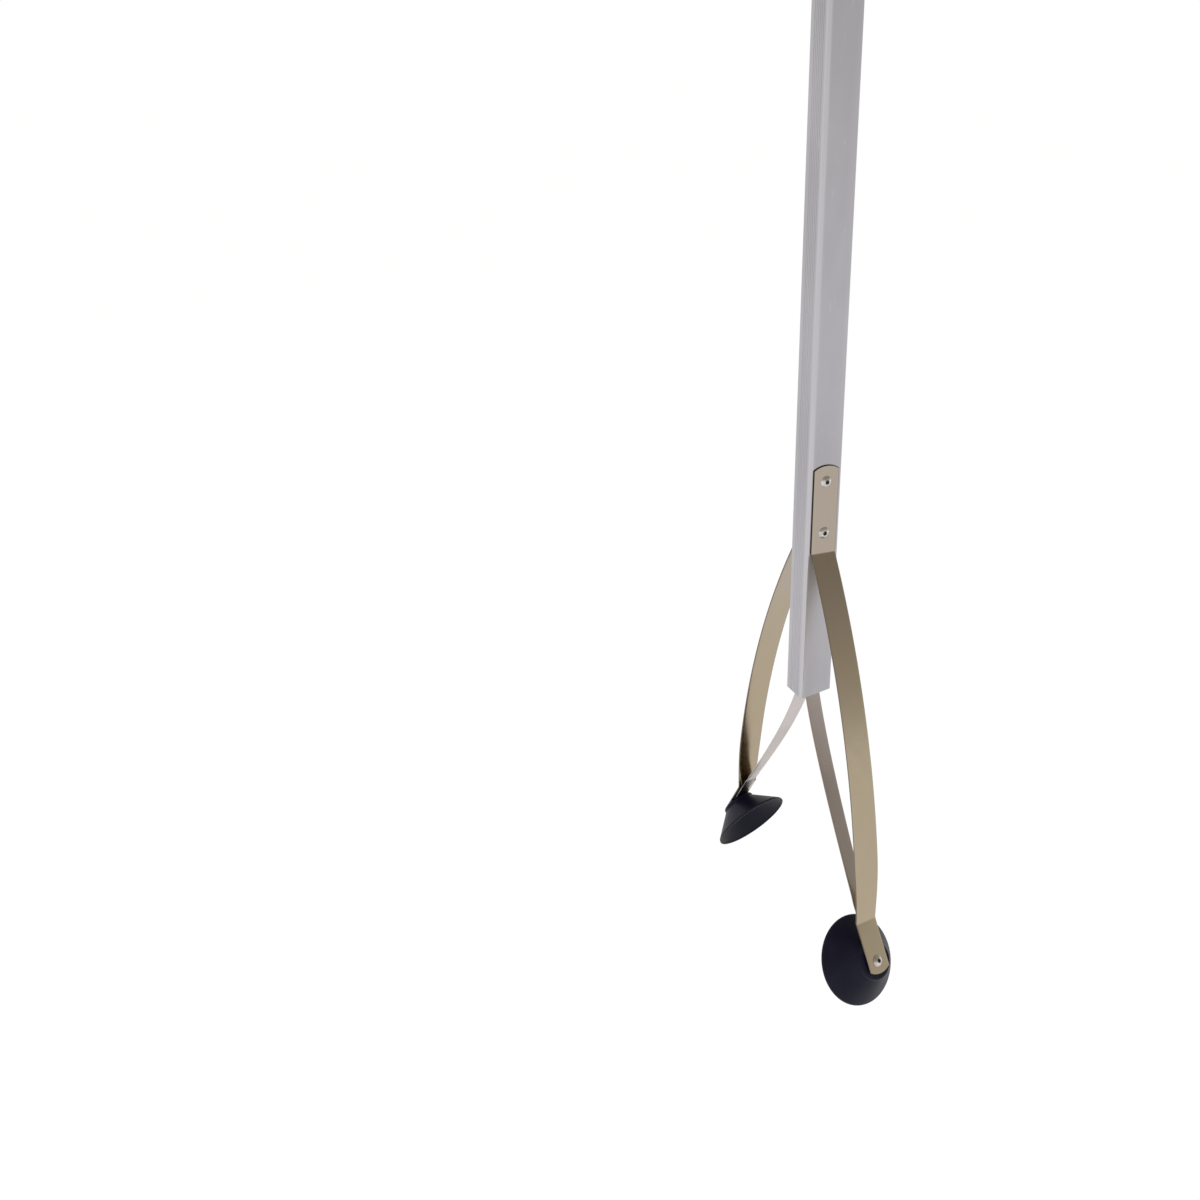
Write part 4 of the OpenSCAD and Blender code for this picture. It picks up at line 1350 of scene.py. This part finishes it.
@dataclass
class Handle:
    """The grip: two moulded shells round the channel's end and the trigger's pivot."""

    travel: float = 16.7
    trigger_arm: float = 30.0
    pivot_z: float = 598.431
    width: float = 26.0
    wall: float = 2.6
    edge: float = 3.6
    barrel_len: float = 46.0
    barrel_half: float = 15.5
    barrel_corner: float = 4.0
    neck_r: float = 12.0
    pivot_boss_r: float = 13.0
    back_r: float = 14.0
    grip_reach: float = 112.0
    grip_end_r: float = 13.0
    crotch_r: float = 8.0
    heel_r: float = 5.0
    body_front: float = 17.0
    crotch_rise: float = 9.0
    grip_rise: float = 43.0
    back_set: float = 6.0
    back_drop: float = 3.0
    heel_rise: float = 1.0
    socket_half: float = 8.0
    hang_r: float = 4.0
    slot_half: float = 4.0
    slot_room: float = 9.0
    barrel_screw_share: float = 0.7
    back_screw_set: float = 8.0
    back_screw_drop: float = 4.0
    grip_screw_x: float = 44.0
    end_screw_set: float = 3.0
    end_screw_drop: float = 1.0
    screw_recess_r: float = 2.95
    screw_recess: float = 2.5
    slim_rim: float = 0.15
    slim_half: float = 5.0
    slim_fade: float = 8.0
    parting: float = 0.35
    sharp_deg: float = 40.0

    @property
    def rest_angle(self) -> float:
        """Angle by which the trigger's lever hangs below level at rest."""
        return math.atan2(self.travel / 2.0, self.trigger_arm)

    @property
    def crotch_z(self) -> float:
        """Height of the hollow between grip and trigger."""
        return self.pivot_z + self.travel / 2.0 + self.crotch_rise

    @property
    def grip_z(self) -> float:
        """Height of the grip's end."""
        return self.crotch_z + self.grip_rise

    def circles(self) -> list[Circle]:
        """List the circles that the outline runs round, counter-clockwise.

        Returns:
            X, Z and radius of each, negative in a hollow.
        """
        low = CHANNEL_LEN - self.barrel_len + self.barrel_corner
        return [
            (self.barrel_half - self.barrel_corner, low, self.barrel_corner),
            (self.barrel_half + self.neck_r, CHANNEL_LEN - self.barrel_len / 3.0, -self.neck_r),
            (self.trigger_arm, self.pivot_z, self.pivot_boss_r),
            (self.trigger_arm - self.back_set, HANG_Z - self.back_drop, self.back_r),
            (-self.grip_reach, self.grip_z, self.grip_end_r),
            (-self.body_front - self.crotch_r, self.crotch_z, -self.crotch_r),
            (self.heel_r - self.body_front, CHANNEL_LEN + self.heel_rise, self.heel_r),
            (self.barrel_corner - self.barrel_half, low, self.barrel_corner),
        ]

    def outline(self, inset: float) -> np.ndarray:
        """Outline of the shells, drawn in by an inset."""
        return tangent_ring(self.circles(), inset, 14, 44)

    def screw_places(self) -> list[Pair]:
        """List the places of the screws, the two on the barrel first.

        Returns:
            X and Z of each screw.
        """
        beside = (self.barrel_half + self.socket_half) / 2.0
        low = CHANNEL_LEN - self.barrel_screw_share * self.barrel_len
        return [
            (beside, low),
            (-beside, low),
            (self.trigger_arm - self.back_screw_set, HANG_Z - self.back_screw_drop),
            (-self.grip_screw_x, (self.grip_z + HANG_Z) / 2.0),
            (self.end_screw_set - self.grip_reach, self.grip_z - self.end_screw_drop),
        ]

    def shell(self, half: Half) -> Surface:
        """One shell as a closed skin: inside face and wall, lip, outside wall, rounded rim and outside face.

        The lip lies at Y 0, drawn back to the slot's side where the trigger comes out. The rim is a quarter
        circle, inset edge·(1 - cos a) at height edge·sin a. Beside the two screws on the barrel the front
        shell's rim is slimmer, which leaves room for their wells.

        Args:
            half: Which shell.

        Returns:
            The closed surface.
        """
        base, places = self.outline(0.0), self.screw_places() if half is Half.FRONT else []
        spread = (self.trigger_arm + self.body_front) * math.tan(self.rest_angle) + self.slot_room
        in_slot = (base[:, 0] < -self.body_front / 2.0) & (np.abs(base[:, 1] - self.pivot_z) < spread)
        lip = np.where(in_slot & (base[:, 0] > -self.body_front - self.crotch_r), self.slot_half, 0.0)
        outer, turn = self.width / 2.0, np.linspace(0.0, np.pi / 2.0, 8)
        inner, rim_y = outer - self.wall, outer - self.edge + self.edge * np.sin(turn)
        rim = [self.outline(float(i)) for i in self.edge * (1.0 - np.cos(turn))]
        if places:
            wide = smoothstep((np.abs(base[:, 1] - places[0][1]) - self.slim_half) / self.slim_fade)
            share = (self.slim_rim + (1.0 - self.slim_rim) * wide)[:, None]
            rim = [base + (ring - base) * share for ring in rim]
        cavity, skin = self.outline(self.wall), Surface()
        rings = [cavity, cavity, self.outline(self.parting), base, *rim]
        inside, outside = skin.wall(rings, [inner, lip, lip, lip + self.parting, *rim_y])
        hang = ring_of((0.0, HANG_Z), self.hang_r)
        low, high = skin.wall([hang, hang], [inner, outer])
        skin.fill(inside, low)
        loops = [outside, high]
        for well in (ring_of(place, self.screw_recess_r, 28) for place in places):
            mouth, bottom = skin.wall([well, well], [outer, outer - self.screw_recess])
            skin.faces.append(bottom.tolist())
            loops.append(mouth)
        skin.fill(*loops)
        return Surface(skin.points * np.array([1.0, half.value, 1.0]), skin.faces)

    def build(self, material: Material) -> None:
        """Make both shells, which ride on the frame.

        Args:
            material: Their material.
        """
        for half in Half:
            made = self.shell(half).piece(f"grip_{half.name.lower()}", material, self.sharp_deg)
            settle(made, "frame", "grip_plastic", half.node)


@dataclass
class Trigger:
    """The squeezed lever: finger bar, web and hub, hanging at rest."""

    handle: Handle
    web_t: float = 6.0
    web_half: float = 6.0
    hub_r: float = 8.0
    hub_w: float = 12.0
    bore_r: float = 2.55
    bar_root: float = 60.0
    bar_tip: float = 130.0
    bar_w: float = 15.0
    bar_edge: float = 3.4
    root_r: float = 7.0
    tip_r: float = 5.5
    tip_drop: float = 7.0
    finger_r: float = 62.0
    finger_drop: float = 9.0
    finger_set: float = 2.0
    slot_r: float = 2.24
    slot_reach: Pair = (29.5, 31.64)
    soft: float = 0.8

    def bar(self) -> Surface:
        """Finger bar: a slab with round rims and a hollow for the fingers underneath.

        Returns:
            The closed surface, level and counted from the pivot.
        """
        middle = -(self.bar_root + self.bar_tip) / 2.0 - self.finger_set
        circles = [
            (-self.bar_root, 0.0, self.root_r),
            (-self.bar_tip, -self.tip_drop, self.tip_r),
            (middle, -self.finger_drop - self.finger_r, -self.finger_r),
        ]
        return rounded_slab(lambda i: tangent_ring(circles, i, 20, 16), [], self.bar_w / 2.0, self.bar_edge)

    def web(self) -> Surface:
        """Web: a slab from hub to finger bar with the link pin's slot.

        Returns:
            The closed surface, level and counted from the pivot.
        """
        circles = [(0.0, 0.0, self.web_half), (-self.bar_root, 0.0, self.web_half)]
        near, far = self.slot_reach
        slot = tangent_ring([(-near, 0.0, self.slot_r), (-far, 0.0, self.slot_r)], 0.0, 14, 2)
        return rounded_slab(lambda i: tangent_ring(circles, i, 20, 16), [slot], self.web_t / 2.0, self.soft)

    def hub(self) -> Surface:
        """Hub: a turned ring round the pivot.

        Returns:
            The closed surface, with its axis along Y.
        """
        half = self.hub_w / 2.0
        low, high = (self.hub_r, -half, self.soft), (self.hub_r, half, self.soft)
        line = rounded([(self.bore_r, -half, 0.0), low, high, (self.bore_r, half, 0.0)])
        lay = np.array([[1.0, 0.0, 0.0], [0.0, 0.0, -1.0], [0.0, 1.0, 0.0]])
        return revolve(line, True, 64).moved(lay)

    def build(self, material: Material) -> None:
        """Make the trigger, turned down to its rest about the pivot.

        Args:
            material: Its material.
        """
        a = self.handle.rest_angle
        turn = np.array([[math.cos(a), 0.0, -math.sin(a)], [0.0, 1.0, 0.0], [math.sin(a), 0.0, math.cos(a)]])
        place = np.array([self.handle.trigger_arm, 0.0, self.handle.pivot_z])
        shape = self.bar().joined(self.web()).joined(self.hub()).moved(turn, place)
        made = shape.piece("squeeze_trigger", material, self.handle.sharp_deg)
        settle(made, "trigger", "trigger_plastic", "trigger")


@dataclass
class Inside:
    """The pieces inside the channel and handle, which keep their CAD shapes."""

    nodes: dict[str, bpy.types.Object]

    def build(self, steel: Material, cross: Material, nylon: Material) -> None:
        """Dress the rod, clamp, guide, clevis, pins, screws and strip legs.

        Args:
            steel: Material of what is drawn along Z.
            cross: Material of what is drawn along Y.
            nylon: Material of guide and clamp.
        """
        dressed = [
            (steel, ("pull_rod", "right_strip_leg", "left_strip_leg", "rod_clevis")),
            (cross, ("link_pin", "trigger_pin", "clamp_rivet", "handle_screws")),
            (nylon, ("rod_guide", "strip_clamp")),
        ]
        for material, node in ((material, node) for material, nodes in dressed for node in nodes):
            mesh = self.nodes[node].data
            mesh.materials.clear()
            mesh.materials.append(material)
            LOG.info("%s keeps its CAD shape in %s", node, material.name)


# Studio


@dataclass
class Studio:
    """Camera, lamps, floor and surroundings."""

    azimuth: float = 60.752
    elevation: float = 20.228
    distance: float = 630.572
    focal_px: float = 1299.9
    roll: float = 2.1525
    target_z: float = 92.7
    target_px: Pair = (815.59, 517.58)
    frame_px: float = 1200.0
    sensor: float = 36.0
    nearest: float = 0.01
    floor_z: float = -230.0
    floor_half: float = 40000.0
    floor_tone: Colour = (0.9, 0.9, 0.9)
    floor_roughness: float = 0.8
    floor_glow: float = 1.036
    glow_share: float = 0.95
    white: Colour = (1.0, 1.0, 1.0)
    haze: Colour = (0.64, 0.62, 0.58)
    ceiling: Colour = (0.36, 0.32, 0.27)
    horizon: float = 0.05
    haze_rise: float = 0.16
    zenith: float = 0.55
    lamps: tuple[tuple[str, Triple, float, float], ...] = (
        ("key", (0.25, -1.1, 0.9), 0.9, 5.0),
        ("side", (1.2, -0.5, 0.5), 0.9, 3.0),
        ("left", (-1.0, -0.5, 0.6), 0.7, 2.0),
    )

    def camera(self) -> None:
        """Aim a camera so that the target falls on its pixel.

        The view starts along the line to the target, is rolled about it, and is turned by the smallest
        rotation that takes the middle of the frame to the target's pixel.
        """
        a, e, r = (math.radians(v) for v in (self.azimuth, self.elevation, self.roll))
        back = Vector((math.sin(a) * math.cos(e), -math.cos(a) * math.cos(e), math.sin(e)))
        right = (-back).cross(Vector((0.0, 0.0, 1.0))).normalized()
        level = Matrix((right, (-back).cross(right), -back))
        across, down = ((pixel - self.frame_px / 2.0) / self.focal_px for pixel in self.target_px)
        ray = Vector((across, down, 1.0))
        aim = Vector((0.0, 0.0, 1.0)).rotation_difference(ray.normalized()).to_matrix()
        rows = aim @ Matrix.Rotation(r, 3, "Z") @ level
        lens = bpy.data.cameras.new("camera")
        lens.sensor_width = self.sensor
        lens.lens = self.focal_px / self.frame_px * self.sensor
        lens.clip_start = self.nearest
        made = new_object("camera", lens)
        turn = Matrix((rows[0], -rows[1], -rows[2])).transposed()
        target = to_row(np.array([[0.0, 0.0, self.target_z]]))[0]
        made.matrix_world = Matrix.Translation(Vector(target) + back * self.distance * MM) @ turn.to_4x4()
        bpy.context.scene.camera = made

    def lamp(self, name: str, place: Triple, size: float, power: float) -> None:
        """Hang a soft square lamp that looks at the middle of the jaws.

        Args:
            name: Name of the lamp.
            place: Where it hangs, in metres from the channel's mouth.
            size: Side of the square, in metres.
            power: Its power in watts.
        """
        light = bpy.data.lights.new(name, "AREA")
        light.size = size
        light.energy = power
        made = new_object(name, light)
        made.location = Vector((0.0, 0.0, -HANG_Z * MM)) + Vector(place)
        made.rotation_mode = "QUATERNION"
        made.rotation_quaternion = (-Vector(place)).to_track_quat("-Z", "Y")
        made.visible_glossy = False

    def surroundings(self) -> None:
        """White up to just above the horizon, then a haze and a warm grey ceiling."""
        world = bpy.data.worlds.new("studio")
        world.use_nodes = True
        sky = Graph(world.node_tree)
        height = sky.node("SeparateXYZ", {0: sky.node("TexCoord", {})}, 2)
        stops = [(self.horizon, self.white), (self.haze_rise, self.haze), (self.zenith, self.ceiling)]
        colour = sky.node("ValToRGB", {0: height}, stops=stops)
        sky.node("OutputWorld", {"Surface": sky.node("Background", {"Color": colour})})
        bpy.context.scene.world = world

    def floor(self) -> None:
        """Lay a pale floor that camera and metal see as white, with the object's shadow left in it."""
        paint = Paint("pale_floor")
        paint.fill(Base_Color=self.floor_tone, Roughness=self.floor_roughness)
        camera, glossy, through = (paint.node("LightPath", {}, output) for output in (0, 3, 6))
        glow = paint.node("Emission", {"Color": self.white, "Strength": self.floor_glow})
        shares = {0: (camera + glossy + through) * self.glow_share, 1: paint.shader, 2: glow}
        paint.set(paint.output.made.inputs["Surface"], paint.node("MixShader", shares))
        across = np.linspace(-self.floor_half, self.floor_half, 3)
        x, y = np.meshgrid(across, across)
        points = np.stack([x.ravel(), y.ravel(), np.full(x.size, self.floor_z)], axis=1)
        mesh = bpy.data.meshes.new("floor")
        mesh.from_pydata(to_row(points).tolist(), [], grid_faces(3, 3, False))
        mesh.materials.append(paint.material)
        made = new_object("floor", mesh)

    def build(self) -> None:
        """Set up the whole studio."""
        bpy.context.scene.view_settings.view_transform = "Standard"
        self.surroundings()
        self.floor()
        for lamp in self.lamps:
            self.lamp(*lamp)
        self.camera()


def settle(piece: bpy.types.Object, body: str, slot: str, *nodes: str) -> None:
    """Let a piece ride on a body in place of CAD nodes, and report it.

    Args:
        piece: The piece.
        body: Body that it moves with.
        slot: Not used.
        nodes: CAD nodes that it stands for.
    """
    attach(piece, body)
    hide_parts(*nodes)
    LOG.info("%s rides on %s", piece.name, body)


def bend_between(
    piece: bpy.types.Object, bodies: tuple[str, str], ends: list[np.ndarray], side: Side
) -> None:
    """Bake a piece's place into its mesh, and report the two bodies that it lies between.

    Args:
        piece: The piece.
        bodies: The two bodies that the report names.
        ends: Two points on the right side, taken to the piece's side and the model's frame and then not used
            further.
        side: The side on which the piece lies.
    """
    start, end = (tuple(corner) for corner in to_row(np.array(ends) @ side.turn))
    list(bodies)
    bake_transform(piece)
    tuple(start)
    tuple(end)
    LOG.info("%s bends between %s and %s", piece.name, *bodies)


def main() -> None:
    """Load the frame, set up the studio and build each sub-assembly in order."""
    logging.basicConfig(level=logging.INFO, format="%(name)s: %(message)s")
    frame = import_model()
    Studio().build()
    arm_steel = SpringSteel(
        name="polished_spring_steel",
        warm=(0.425, 0.353, 0.25),
        cool=(0.42, 0.363, 0.3),
        edge=(0.16, 0.135, 0.11),
        half_width=6.35,
        roughness=0.2,
        warm_from=-10.0,
        warm_to=110.0,
    ).paint()
    strip_steel = SpringSteel(
        name="rolled_strip_steel",
        warm=(0.42, 0.37, 0.34),
        cool=(0.56, 0.51, 0.5),
        edge=(0.52, 0.49, 0.47),
        half_width=4.0,
        roughness=0.24,
        warm_from=0.0,
        warm_to=100.0,
    ).paint()
    rivet_metal = RivetMetal().paint()
    rubber = CupRubber().paint()
    plastic = MouldedPlastic("moulded_grip_plastic", (0.018, 0.018, 0.02), (0.034, 0.034, 0.037), 0.5, 1500.0)
    lever = MouldedPlastic(
        "moulded_trigger_plastic", (0.016, 0.016, 0.018), (0.03, 0.03, 0.033), 0.46, 1700.0
    )
    nylon = MouldedPlastic("natural_nylon", (0.66, 0.63, 0.54), (0.74, 0.71, 0.63), 0.42, 900.0)
    Channel().build(ExtrudedAluminium())
    for side in Side:
        arm = SpringArm(side)
        arm.build(arm_steel)
        ArmRivets(arm).build(rivet_metal)
        PullStrip(arm).build(strip_steel)
        Cup(arm).build(rubber, rivet_metal)
    handle = Handle()
    handle.build(plastic.paint())
    Trigger(handle).build(lever.paint())
    along_y = DrawnSteel(name="turned_steel", stretch=(1.0, 0.01, 1.0))
    Inside(frame["nodes"]).build(DrawnSteel().paint(), along_y.paint(), nylon.paint())


if __name__ == "__main__":
    main()
